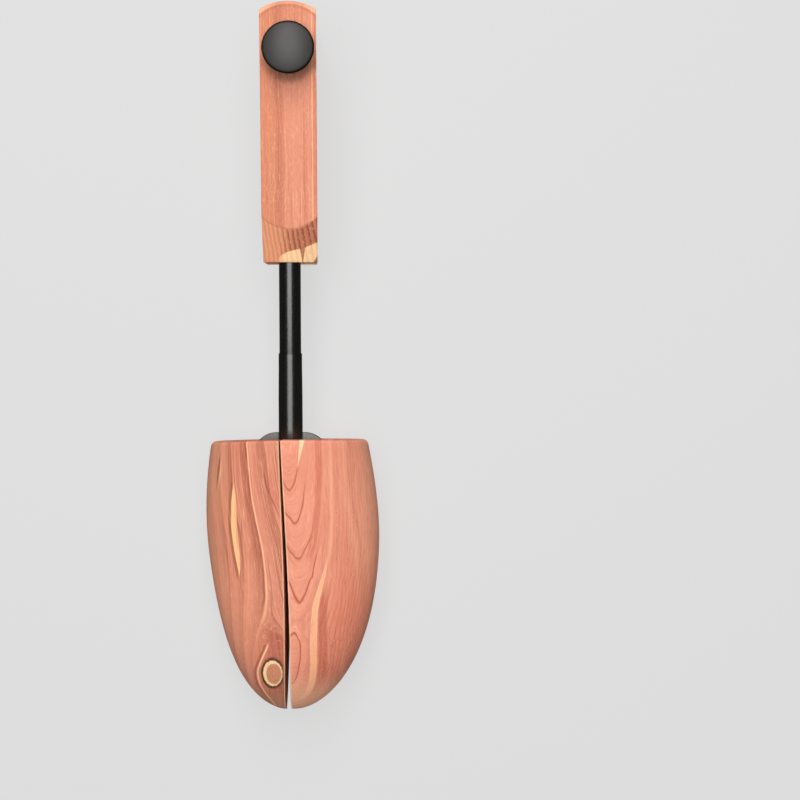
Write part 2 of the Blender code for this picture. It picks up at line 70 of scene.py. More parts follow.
# Toe block
NOSE_HEIGHT = 13.0 * MM
CROWN_FALL = 11.0 * MM
BELLY_HEIGHT = 17.0 * MM
CROWN_POWER = 9.0                   # the higher, the later the crown falls to the nose
WAIST = 4.8 * MM
WAIST_END = 0.42                    # share of the length at which the waist ends
TOE_BEND = 2.1 * MM
BEND_POWER = 1.35                   # the higher, the nearer to the nose it bends most
SOLE_ROUND = 0.42                   # the lower, the squarer the section is below its widest line
CROWN_ROUND = (0.80, 0.88)          # and above it, across and upwards
SOLE_STEPS = 34
CROWN_STEPS = 33
TOE_REAR_SHIFT = 0.9 * MM
SPLIT_REAR = {-1: -4.2 * MM, 1: -3.6 * MM}      # of the left half, -1, and the right half, 1
SPLIT_NOSE = {-1: -2.5 * MM, 1: 0.1 * MM}
SPLIT_BEND = 1.25 * MM
TOE_END = 0.998                     # share of the length at which the nose is blunt
REAR_SLANT = {-1: 0.030, 1: 0.006}  # how far each half's rear face falls back towards the outside
INNER_EDGE = 0.45 * MM
TOE_EDGE = 1.0 * MM
TOE_SIDE_EDGE = 2.2 * MM

# Plate, pins and springs of the toe block
PLATE_RADIUS = 11.1 * MM
PLATE_FLAT = 6.5 * MM
PLATE_PROUD = 3.2 * MM
PLATE_THICKNESS = 2.5 * MM
PLATE_S = PLATE_PROUD - PLATE_RADIUS
PIVOT_U = 11.5 * MM
PIVOT_RADIUS = 2.0 * MM
PIVOT_HIGH = 14.0 * MM
PIN_PLAY = 0.075 * MM
POCKET_RADIUS = 7.0 * MM            # the room for the shaft's front end
SPREAD_Y = TOE_REAR_Y - 62.0 * MM
SPREAD_Z = 22.0 * MM
SPREAD_BORE = 4.5 * MM
SPREAD_DEPTH = 11.0 * MM
SPREAD_MIDDLE = -1.45 * MM
SPREAD_START = SPREAD_MIDDLE - SPREAD_DEPTH + GAP
SPREAD_PLAY = 0.75 * MM             # room for the halves to close before the spring is tight
GUIDE_RADIUS = 1.6 * MM
GUIDE_GRIP = 6.0 * MM

# Shaft, positions along it from the toe block's rear face
OUTER_RADIUS = 5.55 * MM
OUTER_BORE = 5.15 * MM
MOUTH_RADIUS = 5.40 * MM
MOUTH_BORE = 5.07 * MM
OUTER_FRONT = -10.0 * MM
OUTER_MOUTH = 39.9 * MM
TUBE_RADIUS = 5.0 * MM
INNER_BORE = 4.4 * MM
INNER_FRONT = 22.5 * MM
TUBE_IN_HEEL = 45.0 * MM
INNER_REAR = HEEL_FRONT_S + TUBE_IN_HEEL
CROSS_PIN_S = HEEL_FRONT_S + 38.0 * MM
CROSS_PIN_RADIUS = 1.5 * MM
RIVET_S = -13.8 * MM
RIVET_RADIUS = 1.5 * MM
PLUG_FRONT = -17.0 * MM
PLUG_REAR = -4.0 * MM
SPRING_REAR = 50.0 * MM
COIL_RADIUS = 3.2 * MM
COIL_WIRE = 0.5 * MM

# Heel block
HEEL_X = 0.6 * MM
RAMP_SLOPE = 0.169
NOSE_SLOPE = 0.445
NOSE_RUN = 15.0 * MM
NOSE_TOP = 39.0 * MM
NOSE_BOTTOM = 22.0 * MM
NOSE_ARCH = 54.0 * MM
HEEL_TAPER = 0.05
HEEL_END_RADIUS = 24.0 * MM
HEEL_TOP_EDGE = 1.2 * MM
HEEL_TOP_BACK = 3.3 * MM
HEEL_FOOT_RADIUS = 7.0 * MM
HEEL_FOOT_BACK = 2.0 * MM
HEEL_FLAT_START = 62.0 * MM
SHANK_START = 37.0 * MM
SHANK_Z = 8.0 * MM
HEEL_EDGE = 0.4 * MM
HEEL_FRONT_EDGE = 0.3 * MM

# Knob
KNOB_X = 1.1 * MM
KNOB_Y = HEEL_REAR_Y - 25.0 * MM
KNOB_SEAT_Z = 57.3 * MM
KNOB_SEAT_RADIUS = 6.6 * MM         # of the flat that its washer lies on
KNOB_INSERT_RADIUS = 4.0 * MM
KNOB_TOP_Z = 71.0 * MM
KNOB_RADIUS = 11.75 * MM
KNOB_RIM = 0.65 * MM                # width of the bevel round the dome
KNOB_DOME = 2.3 * MM                # height of the dome
KNOB_BEVEL = 0.9 * MM               # height of the bevel
KNOB_DRAW = 0.6 * MM                # how far the side draws in downwards

# Camera and light
CAMERA_PLACE = (0.0507, -0.018, 0.920)
LENS = 86.8
SOFTBOX_PLACE = (-0.05, 0.24, 1.05)
SOFTBOX_SIZE = (0.80, 1.15)
SOFTBOX_POWER = 13.4
REAR_LIGHT_PLACE = (-0.05, 0.98, 0.95)
REAR_LIGHT_SIZE = (0.60, 0.40)
REAR_LIGHT_POWER = 7.0
REAR_LIGHT_TILT = math.radians(-45)
SURROUND = 0.07


def rgb(red, green, blue):
    """A colour as seen on a screen, 0 to 255, turned into the linear one that shaders take."""
    def linear(value):
        share = value / 255
        return share / 12.92 if share <= 0.04045 else ((share + 0.055) / 1.055) ** 2.4
    return (linear(red), linear(green), linear(blue), 1.0)


# Node graphs

def arithmetic(operation, swapped=False):
    """An operator for fields, which adds a node to their graph."""
    def apply(self, other):
        values = (other, self) if swapped else (self, other)
        return self.graph.math(operation, *values)
    return apply


class Field:
    """A value that varies over a surface."""
    __add__ = __radd__ = arithmetic("ADD")
    __sub__ = arithmetic("SUBTRACT")
    __rsub__ = arithmetic("SUBTRACT", swapped=True)
    __mul__ = __rmul__ = arithmetic("MULTIPLY")
    __truediv__ = arithmetic("DIVIDE")
    __rtruediv__ = arithmetic("DIVIDE", swapped=True)
    __pow__ = arithmetic("POWER")

    def __init__(self, graph, socket):
        self.graph = graph
        self.socket = socket


class Graph:
    """A material whose fields are worked out from the place in the solid, x, y and z in millimetres."""

    def __init__(self, name):
        self.material = bpy.data.materials.new(name)
        self.material.use_nodes = True
        self.tree = self.material.node_tree
        self.shader = self.tree.nodes["Principled BSDF"]
        place = self.node("ShaderNodeTexCoord").outputs["Object"]
        split = self.node("ShaderNodeSeparateXYZ", Field(self, place))
        self.x, self.y, self.z = [Field(self, output) * 1000.0 for output in split.outputs]
        self.colour = None      # what tint() lays its colours over

    def feed(self, socket, value):
        if isinstance(value, Field):
            self.tree.links.new(value.socket, socket)
        else:
            socket.default_value = value

    def node(self, kind, *values, **settings):
        made = self.tree.nodes.new(kind)
        for key, value in settings.items():
            setattr(made, key, value)
        for socket, value in zip(made.inputs, values):
            self.feed(socket, value)
        return made

    def math(self, operation, *values):
        return Field(self, self.node("ShaderNodeMath", *values, operation=operation).outputs[0])

    def root(self, value):
        return self.math("SQRT", self.math("MAXIMUM", value, 0.0))

    def reach(self, across, along):
        """Distance from where both are 0."""
        return self.root(across * across + along * along)

    def size(self, value):
        return self.math("ABSOLUTE", value)

    def noise(self, x, y, z, detail=2.0, roughness=0.5):
        """Noise from about -0.5 to 0.5, with one feature per unit of x, y and z."""
        place = Field(self, self.node("ShaderNodeCombineXYZ", x, y, z).outputs[0])
        made = self.node("ShaderNodeTexNoise")
        self.feed(made.inputs["Vector"], place)
        made.inputs["Scale"].default_value = 1.0
        made.inputs["Detail"].default_value = detail
        made.inputs["Roughness"].default_value = roughness
        return Field(self, made.outputs[0]) - 0.5

    def even_noise(self, scale, detail=2.0):
        """Noise that is alike in every direction, with scale features per millimetre."""
        return self.noise(self.x * scale, self.y * scale, self.z * scale, detail)

    def step(self, value, low, high):
        """0 up to low, 1 from high, and smooth between them. It falls where low is the greater."""
        made = self.node("ShaderNodeMapRange", value, low, high, interpolation_type="SMOOTHSTEP")
        return Field(self, made.outputs[0])

    def line(self, value, middle, half_width):
        """1 at the middle, falling to 0 at half_width on both sides."""
        return self.step(self.size(value - middle), half_width, 0.0)

    def spindle(self, across, along, half_width, half_length, core=0.6):
        """1 in the middle of a thin diamond round (0, 0), falling to 0 at its sides and ends."""
        return self.step(self.size(across) / half_width + self.size(along) / half_length, 1.1, core)

    def late_wood(self, rings, start, full, end):
        """The dark part of each ring: it builds up from start to full, and falls off from end on."""
        phase = self.math("FRACT", rings)
        return self.step(phase, start, full) * self.step(phase, 1.0, end)

    def curve(self, value, points):
        """A smooth curve through (value, result) points, level beyond its ends."""
        starts = [at for at, _ in points]
        results = [result for _, result in points]
        low, high = min(results), max(results)
        share = self.node("ShaderNodeMapRange", value, starts[0], starts[-1])
        made = self.node("ShaderNodeFloatCurve", 1.0, Field(self, share.outputs[0]))
        line = made.mapping.curves[0]
        while len(line.points) < len(points):
            line.points.new(0.5, 0.5)
        for point, (at, result) in zip(line.points, points):
            point.location = ((at - starts[0]) / (starts[-1] - starts[0]), (result - low) / (high - low))
        made.mapping.update()
        return Field(self, made.outputs[0]) * (high - low) + low

    def mix(self, share, low, high):
        made = self.node("ShaderNodeMix", data_type="RGBA")
        for index, value in ((0, share), (6, low), (7, high)):
            self.feed(made.inputs[index], value)
        return Field(self, made.outputs[2])

    def tint(self, share, colour):
        """Lays a colour over what the graph has so far."""
        self.colour = self.mix(share, self.colour, colour)

    def relief(self, height, depth):
        """Bumps the surface by height times depth millimetres."""
        bump = self.node("ShaderNodeBump")
        bump.inputs["Strength"].default_value = 1.0
        bump.inputs["Distance"].default_value = depth * MM
        self.feed(bump.inputs["Height"], height)
        self.tree.links.new(bump.outputs[0], self.shader.inputs["Normal"])

    def set(self, **values):
        for name, value in values.items():
            self.feed(self.shader.inputs[name.replace("_", " ").title().replace("Ior", "IOR")], value)
        return self.material


# Cedar

SALMON = rgb(231, 150, 124)
ROSE = rgb(213, 126, 101)
RED_LINE = rgb(172, 90, 66)
DARK_LINE = rgb(134, 66, 44)
PALE = rgb(252, 188, 148)
BARK_BROWN = rgb(66, 32, 16)


def toe_share(g):
    """Share of the toe block's length, 0 at its rear face and 1 at its nose."""
    return g.math("MINIMUM", g.math("MAXIMUM", (TOE_REAR_Y / MM - g.y) / (TOE_LENGTH / MM), 0.0), 1.0)


def crown_height(g):
    """Height of the toe block's crown above the sole, along its length."""
    u = toe_share(g)
    line = TOE_HEIGHT / MM - u * (CROWN_FALL / MM)
    fall = g.root(1.0 - u ** CROWN_POWER)
    return NOSE_HEIGHT / MM + (line - NOSE_HEIGHT / MM) * fall


def split_distance(g, side):
    """Distance from a toe half's inner face."""
    u = toe_share(g)
    straight = (SPLIT_NOSE[side] - SPLIT_REAR[side]) / MM * u + SPLIT_REAR[side] / MM
    swing = g.math("SINE", u ** BEND_POWER * math.pi)
    return g.size(g.x - straight - swing * (SPLIT_BEND / MM))


def cedar_finish(g, across, strength):
    """Fibre streaks, pores and a matt sanded surface, over the colour that the growth rings give."""
    fibre = g.noise(across * 2.6, g.y * 0.045, g.z * 1.6, detail=3.0, roughness=0.65)
    thread = g.noise(across * 7.0, g.y * 0.16, g.z * 5.0, detail=2.0)
    cloud = g.noise(across * 0.12, g.y * 0.022, g.z * 0.12)
    g.tint(g.step(fibre, 0.02, 0.26) * (0.45 * strength), RED_LINE)
    g.tint(g.step(fibre, -0.02, -0.24) * (0.60 * strength), PALE)
    g.tint(g.step(thread, 0.03, 0.24) * (0.35 * strength), RED_LINE)
    g.tint(g.step(thread, -0.05, -0.25) * (0.30 * strength), PALE)
    g.tint(g.step(cloud, -0.2, 0.2) * 0.14, ROSE)
    pores = g.step(thread, 0.10, 0.22)
    height = fibre * 0.5 + thread * 0.7 - pores * 0.3
    g.relief(height, 0.05)
    return g.set(base_color=g.colour, roughness=0.56 + thread * 0.25 + cloud * 0.2, specular_ior_level=0.25)


def split_edge_highlight(g, side):
    """A painted highlight on the softened top edge along the split."""
    near = g.step(split_distance(g, side), 0.9, 0.2)
    high = g.step(crown_height(g) - g.z, 0.9, 0.25)
    g.tint(near * high * 0.75, rgb(255, 206, 172))


def inner_face(g, side):
    """The sawn inner face, darker than the planed outside."""
    inside = g.step(split_distance(g, side), 0.12, 0.02)
    saw = g.noise(g.y * 0.8, g.z * 0.05, g.x)
    g.tint(inside * (0.85 + saw * 0.3), rgb(196, 122, 66))


def cedar_right():
    """Rings round a pith that runs above the block, so that they show as long Vs and one closed loop."""
    g = Graph("cedar_right")
    y = g.y
    pith_x = g.curve(y, [(-163, 0.0), (-148, 0.0), (-135, 0.5), (-122, 2.6), (-111, 5.0), (-91, 4.9),
                         (-74, 3.2), (-59, 0.9), (-36, 0.0)])
    pith_rise = g.curve(y, [(-163, 25.0), (-154, 22.5), (-147.7, 21.5), (-141, 20.9), (-134, 20.8),
                            (-129, 21.0), (-124.5, 21.5), (-118, 21.95), (-112, 21.35), (-104, 20.6),
                            (-91, 19.2), (-74, 16.3), (-60, 14.5), (-48, 13.3), (-36, 12.4)])
    bluntness = g.curve(y, [(-120, 0.25), (-106, 0.5), (-92, 3.0), (-80, 5.5), (-70, 5.5), (-62, 0.9),
                            (-50, 0.7)])
    wander = g.noise(g.x * 0.11, y * 0.035, g.z * 0.11, detail=2.0)
    ripple = g.noise(g.x * 0.20, y * 0.05, g.z * 0.20, detail=1.0)
    drop = crown_height(g) - g.z
    across = g.x - pith_x
    point = g.curve(y, [(-128, 1.0), (-118, 2.6), (-107, 2.6), (-99, 1.0)])
    aside = g.root(across * across + bluntness) + point
    depth = pith_rise + drop
    radius = g.reach(aside, depth) + ripple * 0.7
    low = g.step(y, -84.0, -116.0)
    outside = g.step(radius, 21.0, 25.0)

    g.colour = g.mix(g.step(wander, -0.18, 0.18) * 0.35, SALMON, ROSE)
    # painted sheen: lighter and tanner towards the sloping outer side
    g.tint(g.step(g.x, 22.0, 38.0) * 0.60, rgb(240, 166, 132))
    g.tint(g.step(g.x, 12.0, 26.0) * low * 0.42, rgb(220, 108, 80))
    g.tint(g.step(radius, 23.4, 21.6) * low * 0.40, rgb(246, 168, 138))
    # growth rings, each as wide as it lies flat along the surface
    slant = aside / radius
    fade = g.step(slant, 0.60, 0.34)
    for ring, strength in ((14.5, 0.80), (16.6, 0.95), (19.3, 0.80), (21.6, 1.00)):
        inside = g.step(radius, ring - 1.0, ring - 0.05) * g.step(radius, ring + 0.05, ring - 0.05)
        thin = g.line(radius, ring, slant * 0.52 + 0.06)
        g.tint(inside * fade * (strength * 0.35), ROSE)
        g.tint(thin * fade * strength, rgb(174, 82, 56))

    # straighter grain outside them
    broad = g.noise(across * 0.30, y * 0.012, 4.0, detail=1.0)
    g.tint(g.step(broad, 0.02, 0.22) * outside * 0.45, rgb(204, 118, 92))
    g.tint(g.step(broad, -0.02, -0.22) * outside * 0.35, PALE)
    late = g.late_wood(radius * 0.55 + wander * 2.0, 0.50, 0.95, 0.97)
    g.tint(late * outside * (0.22 + low * 0.12), RED_LINE)
    dashes = g.noise(across * 1.8, y * 0.09, g.z * 0.9, detail=2.0)
    g.tint(g.step(dashes, 0.08, 0.22) * outside * (0.30 + low * 0.12), DARK_LINE)

    # a red band and a light line beside it, towards the rear
    red_path = g.curve(y, [(-97, 8.4), (-88, 10.2), (-77, 12.2), (-63, 13.5), (-36, 13.4)])
    red = g.step(g.size(g.x - red_path + ripple * 1.2), 2.0, 1.0) * g.step(y, -99.0, -84.0)
    g.tint(red * 0.62, rgb(198, 104, 78))
    light_path = g.curve(y, [(-104, 14.2), (-92, 17.6), (-78, 19.4), (-60, 19.6), (-36, 18.6)])
    light = g.line(g.x, light_path, 1.7) * g.step(y, -98.0, -88.0)
    g.tint(light * 0.45, PALE)

    # the pale streak that hooks round the nose
    path = g.curve(y, [(-158.5, -1.5), (-157.4, 1.4), (-155.8, 5.2), (-152.9, 8.0), (-149.8, 9.6),
                       (-146, 10.6), (-140.5, 11.1), (-132.5, 11.1), (-125, 11.3), (-117.5, 11.7),
                       (-109.7, 12.7), (-104, 14.3), (-88, 18.4)])
    half_width = g.curve(y, [(-158.5, 2.6), (-157.4, 2.0), (-155.8, 1.35), (-153, 1.25), (-147, 1.4),
                             (-133, 1.55), (-118, 1.45), (-109, 1.25), (-104, 1.05), (-88, 0.5)])
    beside = (g.x - path + ripple * 0.8) / half_width
    streak = g.step(g.size(beside), 1.15, 0.65) * g.step(y, -86.0, -98.0)
    g.tint(streak * 0.95, rgb(255, 183, 141))
    threads = g.line(g.size(beside), 0.85, 0.30) * g.step(y, -92.0, -104.0)
    g.tint(threads * 0.5, rgb(255, 214, 164))
    shade = g.step(g.size(beside - 2.7), 1.9, 0.9) * g.step(y, -98.0, -112.0)
    g.tint(shade * 0.60, rgb(182, 84, 62))
    # a yellow sliver at the rear, and dotted threads
    sliver_x = g.x - (y + 36.2) * 0.16 - 6.3
    sliver = g.step(g.size(sliver_x) - (y + 48.0) * 0.085, 0.25, -0.10)
    g.tint(sliver * 0.90, rgb(255, 216, 168))
    dots = g.noise(1.0, y * 0.9, 2.0, detail=1.0)
    for place in (21.7, 26.6, 29.3):
        thread_line = g.line(g.x + ripple * 0.8, place, 0.35) * g.step(dots, -0.12, 0.10) * (1.0 - low)
        g.tint(thread_line * 0.32, rgb(150, 74, 52))
    # painted light: the nose paler, where it slopes away from the lamps
    g.tint(g.step(y, -142.0, -159.0) * 0.90, rgb(255, 192, 152))
    split_edge_highlight(g, 1)
    inner_face(g, 1)
    return cedar_finish(g, radius, strength=0.65)


KNOT_X = -7.6
KNOT_Y = -143.4
KNOT_WIDE = 4.4                     # the knot's half width and half length
KNOT_LONG = 6.1
FLOW_RADIUS = 9.6                   # how far from the knot the grain swings round it
FLOW_STRETCH = 2.5


def cedar_left():
    """Grain that drifts towards the split and parts round a knot near the nose."""
    g = Graph("cedar_left")
    y = g.y
    drop = crown_height(g) - g.z
    drift = g.curve(y, [(-163, 1.0), (-140, 0.3), (-128, -0.4), (-116, -1.3), (-107, -1.3), (-91, -2.6),
                        (-72, -6.6), (-54, -9.9), (-36, -11.8)])
    ripple = g.noise(g.x * 0.22, y * 0.03, g.z * 0.22, detail=2.0)
    across = g.x - KNOT_X - drift + ripple * 1.2
    down = y - KNOT_Y
    squared = across * across + (down / FLOW_STRETCH) * (down / FLOW_STRETCH)
    away = g.math("MAXIMUM", squared, 1.0)
    flow = across * (1.0 - FLOW_RADIUS ** 2 / away)
    outside = g.step(away, FLOW_RADIUS ** 2 - 40.0, FLOW_RADIUS ** 2 + 14.0)
    grain = flow - drop * 0.75

    jag = g.noise(g.x * 0.7, y * 0.7, g.z * 0.1, detail=3.0, roughness=0.7)
    knot_x = (g.x - KNOT_X) / KNOT_WIDE
    knot_y = down / KNOT_LONG
    knot = g.reach(knot_x, knot_y) + jag * 0.28

    # bands and strands along the grain, and the pale line among them
    broad = g.late_wood((grain + 1.3) / 9.0 + 10.0 + ripple * 0.15, 0.15, 0.97, 0.98)
    g.colour = g.mix(broad * 0.68, rgb(218, 139, 112), rgb(158, 84, 64))
    tone = g.noise(grain * 0.45, y * 0.01, 2.0, detail=2.0)
    g.tint(g.step(tone, 0.0, 0.25) * 0.35, rgb(168, 98, 76))
    strand = g.noise(grain * 1.5, y * 0.014, 7.0, detail=2.0, roughness=0.6)
    g.tint(g.step(strand, 0.04, 0.20) * 0.60, rgb(156, 84, 62))
    g.tint(g.step(strand, -0.06, -0.22) * 0.40, PALE)
    clear = outside * (0.45 + g.step(y, -122.0, -104.0) * 0.55)
    g.tint(g.line(grain, -3.4, 2.4) * 0.45 * clear, rgb(164, 82, 62))
    g.tint(g.line(grain, -1.7, 0.70) * 0.70 * clear, DARK_LINE)
    g.tint(g.line(grain, -0.9, 0.55) * 0.90 * clear, rgb(255, 190, 150))
    # painted sheen: lighter and tanner towards the sloping outer side
    g.tint(g.step(g.x, -24.0, -36.0) * 0.70, rgb(222, 152, 118))
    g.tint(g.step(y, -86.0, -108.0) * g.step(g.x, -9.0, -15.0) * 0.40, rgb(240, 162, 130))

    # darker wood round the knot
    near_knot = g.mix(g.step(across, -6.0, 4.0), rgb(212, 130, 102), rgb(176, 92, 72))
    near_knot = g.mix(g.step(y, -148.0, -156.0) * 0.6, near_knot, rgb(150, 90, 66))
    near_strand = g.noise(g.x * 1.1 + down * 0.10, y * 0.05, 3.0, detail=3.0, roughness=0.6)
    near_knot = g.mix(g.step(near_strand, 0.02, 0.20) * 0.55, near_knot, DARK_LINE)
    near_knot = g.mix(g.step(near_strand, -0.05, -0.22) * 0.25, near_knot, PALE)
    g.tint(1.0 - outside, near_knot)

    # a dark slash beside the split
    slash_path = g.curve(y, [(-76, -2.0), (-72, -3.8), (-66.5, -5.8), (-62, -7.8), (-56.6, -9.8),
                             (-50, -11.0)])
    slash = g.line(g.x, slash_path, 0.75) * g.step(y, -47.0, -55.0) * g.step(y, -77.0, -64.0)
    blush = g.step(g.size(g.x - slash_path - 2.4), 3.0, 0.5) * g.step(y, -46.0, -56.0)
    g.tint(blush * g.step(y, -84.0, -70.0) * 0.40, rgb(186, 94, 74))
    g.tint(slash * 0.85, rgb(128, 58, 44))

    # a pale thread round the knot
    thread_path = g.curve(y, [(-160, -7.2), (-157, -9.0), (-152, -12.2), (-147.4, -14.1), (-142.8, -14.6),
                              (-139.6, -13.7), (-135, -11.8), (-130, -9.7), (-128, -9.2)])
    thread = g.step(y, -128.2, -131.0)
    g.tint(g.line(g.x, thread_path - 1.3, 1.0) * thread * 0.75, DARK_LINE)
    g.tint(g.line(g.x, thread_path, 0.75) * thread, rgb(255, 200, 160))

    # a yellow lens, with small checks and glints
    lens_x = g.x + 25.0 - g.step(y, -72.0, -98.0) * 2.3
    ends = (g.size(y + 77.0) / 22.0) ** 3.0
    brink = g.step(g.size(lens_x + 1.0) / 1.5 + ends, 1.30, 0.95)
    lens = g.step(g.size(lens_x) / 1.5 + ends, 1.08, 0.80)
    g.tint(brink * 0.75, rgb(150, 84, 60))
    g.tint(lens, g.mix(g.step(lens_x, 0.1, 1.3) * 0.55, rgb(255, 200, 143), rgb(222, 150, 112)))
    g.tint(g.step(g.noise(g.x * 2.0, y * 0.08, 1.0), 0.04, 0.2) * lens * 0.35, rgb(200, 134, 104))
    check_x = g.x + 21.6 + (y + 73.0) * 0.06
    check = g.spindle(check_x, y + 76.5, 0.45, 6.5)
    glint = g.spindle(check_x - 1.4, y + 70.0, 0.45, 5.5)
    g.tint(check * 0.70, rgb(134, 68, 48))
    g.tint(glint * 0.60, rgb(246, 176, 140))
    streak_x = g.x + 31.4 - (y + 50.0) * 0.12
    streak = g.spindle(streak_x, y + 52.0, 0.6, 8.0, core=0.7)
    rift = g.spindle(streak_x + 0.9, y + 50.5, 0.7, 11.0)
    g.tint(rift * 0.75, rgb(128, 72, 50))
    g.tint(streak * 0.75, rgb(240, 176, 132))

    # the knot, and bark beside it in the split, partly painted shade
    g.tint(g.step(knot, 1.5, 1.15) * 0.45, DARK_LINE)
    g.tint(g.step(knot, 1.26, 1.20), BARK_BROWN)
    heart = g.reach(knot_x - 0.10, knot_y + 0.04) + jag * 0.20
    core_ring = g.math("FRACT", heart * 3.4 + jag * 0.6)
    core = g.mix(g.step(core_ring, 0.4, 0.9) * 0.30, rgb(208, 142, 106), rgb(164, 98, 70))
    core = g.mix(g.step(heart, 0.76, 0.84), core, rgb(255, 222, 168))
    g.tint(g.step(knot, 1.04, 0.98), core)
    # partly bark, partly painted shade where the inner face lies in the split
    bark_and_split_shade = g.step(split_distance(g, -1), 1.3, 0.7) * g.step(y, -138.0, -142.0)
    g.tint(bark_and_split_shade * g.step(jag, -0.25, 0.0), rgb(58, 42, 24))
    # painted light: the nose paler, where it slopes away from the lamps
    g.tint(g.step(y, -148.0, -162.0) * 0.40, PALE)
    split_edge_highlight(g, -1)
    inner_face(g, -1)
    return cedar_finish(g, grain, strength=0.8)


def knob_distance(g):
    """Distance from the knob's axis."""
    return g.reach(g.x - KNOB_X / MM, g.y - KNOB_Y / MM)


def cedar_heel():
    """Straight grain along the board, cut across by the short face at the front."""
    g = Graph("cedar_heel")
    ramp_start = (NOSE_TOP + NOSE_SLOPE * NOSE_RUN) / MM
    ramp = ramp_start + (g.y - (HEEL_FRONT_Y + NOSE_RUN) / MM) * RAMP_SLOPE
    below = g.z - ramp
    wander = g.noise(g.x * 0.09, g.y * 0.012, g.z * 0.09)
    across = g.x * 0.5 + below * 0.86 + wander * 1.6
    along_board = g.noise(across * 0.55, g.y * 0.006, 1.0, detail=3.0, roughness=0.6)
    strand = g.noise(across * 3.8, g.y * 0.009, 5.0, detail=3.0, roughness=0.68)
    fleck = g.noise(across * 7.0, g.y * 0.55, 3.0, detail=1.0)
    beside = g.x - HEEL_X / MM
    upper = g.step(below, -2.4, -1.0)
    forward = g.step(below, -0.02, -0.4) * g.step(g.y, 67.5, 66.0)
    arch = beside * beside / (2 * NOSE_ARCH / MM)
    front_y = HEEL_FRONT_Y / MM
    under = NOSE_TOP / MM + (g.y - front_y) * NOSE_SLOPE - arch - g.z
    cut_face = g.math("MAXIMUM", g.step(under, 1.6, 0.6), g.step(g.y, front_y + 0.9, front_y + 0.4))
    nose = forward * cut_face

    # strands along the board, browner on the left, with a darker band
    g.colour = g.mix(g.step(g.x, 3.0, -10.0) * 0.8, rgb(213, 137, 109), rgb(200, 124, 88))
    wavy_x = g.x + wander * 4.0
    g.tint(g.step(wavy_x, -6.5, -4.0) * g.step(wavy_x, -0.5, -3.0) * 0.50, rgb(170, 92, 68))
    g.tint(g.step(along_board, 0.0, 0.22) * 0.58, rgb(186, 104, 78))
    g.tint(g.step(strand, 0.05, 0.20) * 0.80, RED_LINE)
    g.tint(g.step(strand, -0.05, -0.22) * 0.66, rgb(250, 178, 134))
    g.tint(g.step(fleck, 0.08, 0.24) * 0.12, rgb(250, 178, 126))
    g.tint(g.step(fleck, -0.08, -0.24) * 0.20, rgb(160, 84, 60))
    g.tint(g.line(g.x, 11.3, 0.55) * 0.6, rgb(255, 190, 142))
    g.tint(g.step(g.y, 147.0, 156.0) * 0.35, rgb(180, 104, 70))
    # painted highlight on the rounded rear edge of the upper face, stronger at its corners, and painted shade
    # just before it
    end_y = g.y - (HEEL_REAR_Y - HEEL_END_RADIUS) / MM
    from_end = HEEL_END_RADIUS / MM - g.reach(beside, end_y)
    top_end = (HEEL_TOP_BACK + HEEL_TOP_EDGE) / MM
    end_painted_shade = g.line(from_end, top_end + 0.9, 0.8) * g.step(g.y, 148.0, 151.0) * upper
    end_painted_highlight = g.step(from_end, top_end + 0.5, top_end - 0.2) * g.step(g.y, 146.0, 150.0) * upper
    g.tint(end_painted_shade * 0.35, rgb(150, 80, 54))
    g.tint(end_painted_highlight * (0.28 + g.step(g.size(beside), 6.0, 11.0) * 0.40), rgb(252, 190, 148))
    # painted shadow of the knob, on the wood in front of it
    knob_painted_shadow = g.step(knob_distance(g), 15.5, 12.0) * g.step(g.y - KNOB_Y / MM, 2.0, -8.0) * upper
    g.tint(knob_painted_shadow * 0.58, rgb(104, 60, 16))
    # growth rings cut across by the front face
    tilt = g.x * 0.95 + below * 0.55 + wander * 2.4
    late = g.late_wood(tilt / 2.1 + 40.0, 0.30, 0.88, 0.95)
    end_grain = g.mix(g.step(g.x, -7.0, 6.0), rgb(230, 156, 116), rgb(188, 114, 84))
    end_grain = g.mix(late * (0.30 + g.step(g.x, -6.0, 2.0) * 0.50), end_grain, rgb(100, 48, 30))
    g.tint(nose, end_grain)
    # sapwood at its front, a dark spike in it and a dark corner
    sap_edge = g.curve(g.x, [(-6.3, 45.0), (-2.7, 48.6), (-0.4, 49.7), (5.5, 50.9), (6.9, 51.3),
                             (12.4, 53.4)])
    sap = g.step(g.y - sap_edge + wander * 2.0 + strand * 1.6, 0.3, -0.3) * forward
    sap = sap * g.step(g.x, -6.3, -2.0)
    sapwood = g.mix(late * 0.30, rgb(255, 216, 164), rgb(214, 150, 96))
    g.tint(sap * 0.97, sapwood)
    spike = g.step(g.size(g.x - 6.3) - (g.y - 45.0) * 0.17, 0.3, 0.0) * g.step(g.y, 52.5, 50.5) * forward
    g.tint(spike * 0.85, rgb(148, 86, 52))
    corner = g.step(g.x + (46.5 - g.y) * 0.6, 11.6, 12.6) * nose * g.step(under, 3.0, 1.5)
    g.tint(corner * 0.8, BARK_BROWN)
    return cedar_finish(g, across * 1.4, strength=0.62)


# Paint, plastic and metal

def black_paint():
    """Gloss black paint on the tubes, with a little orange peel, dust and rubbed streaks."""
    g = Graph("black_paint")
    peel = g.even_noise(0.5)
    rub = g.noise(g.x * 1.2, g.y * 0.03, g.z * 1.2, detail=3.0)
    dust = g.even_noise(2.4, detail=1.0)
    speck = g.step(dust, 0.24, 0.30)
    g.colour = g.mix(g.step(rub, 0.0, 0.3) * 0.5, (0.0022, 0.0022, 0.0018, 1.0),
                     (0.0075, 0.0062, 0.0042, 1.0))
    g.tint(speck * 0.6, (0.10, 0.10, 0.09, 1.0))
    g.relief(peel + speck * 0.4, 0.012)
    return g.set(base_color=g.colour, roughness=0.26 + rub * 0.10 + speck * 0.3, specular_ior_level=0.80)


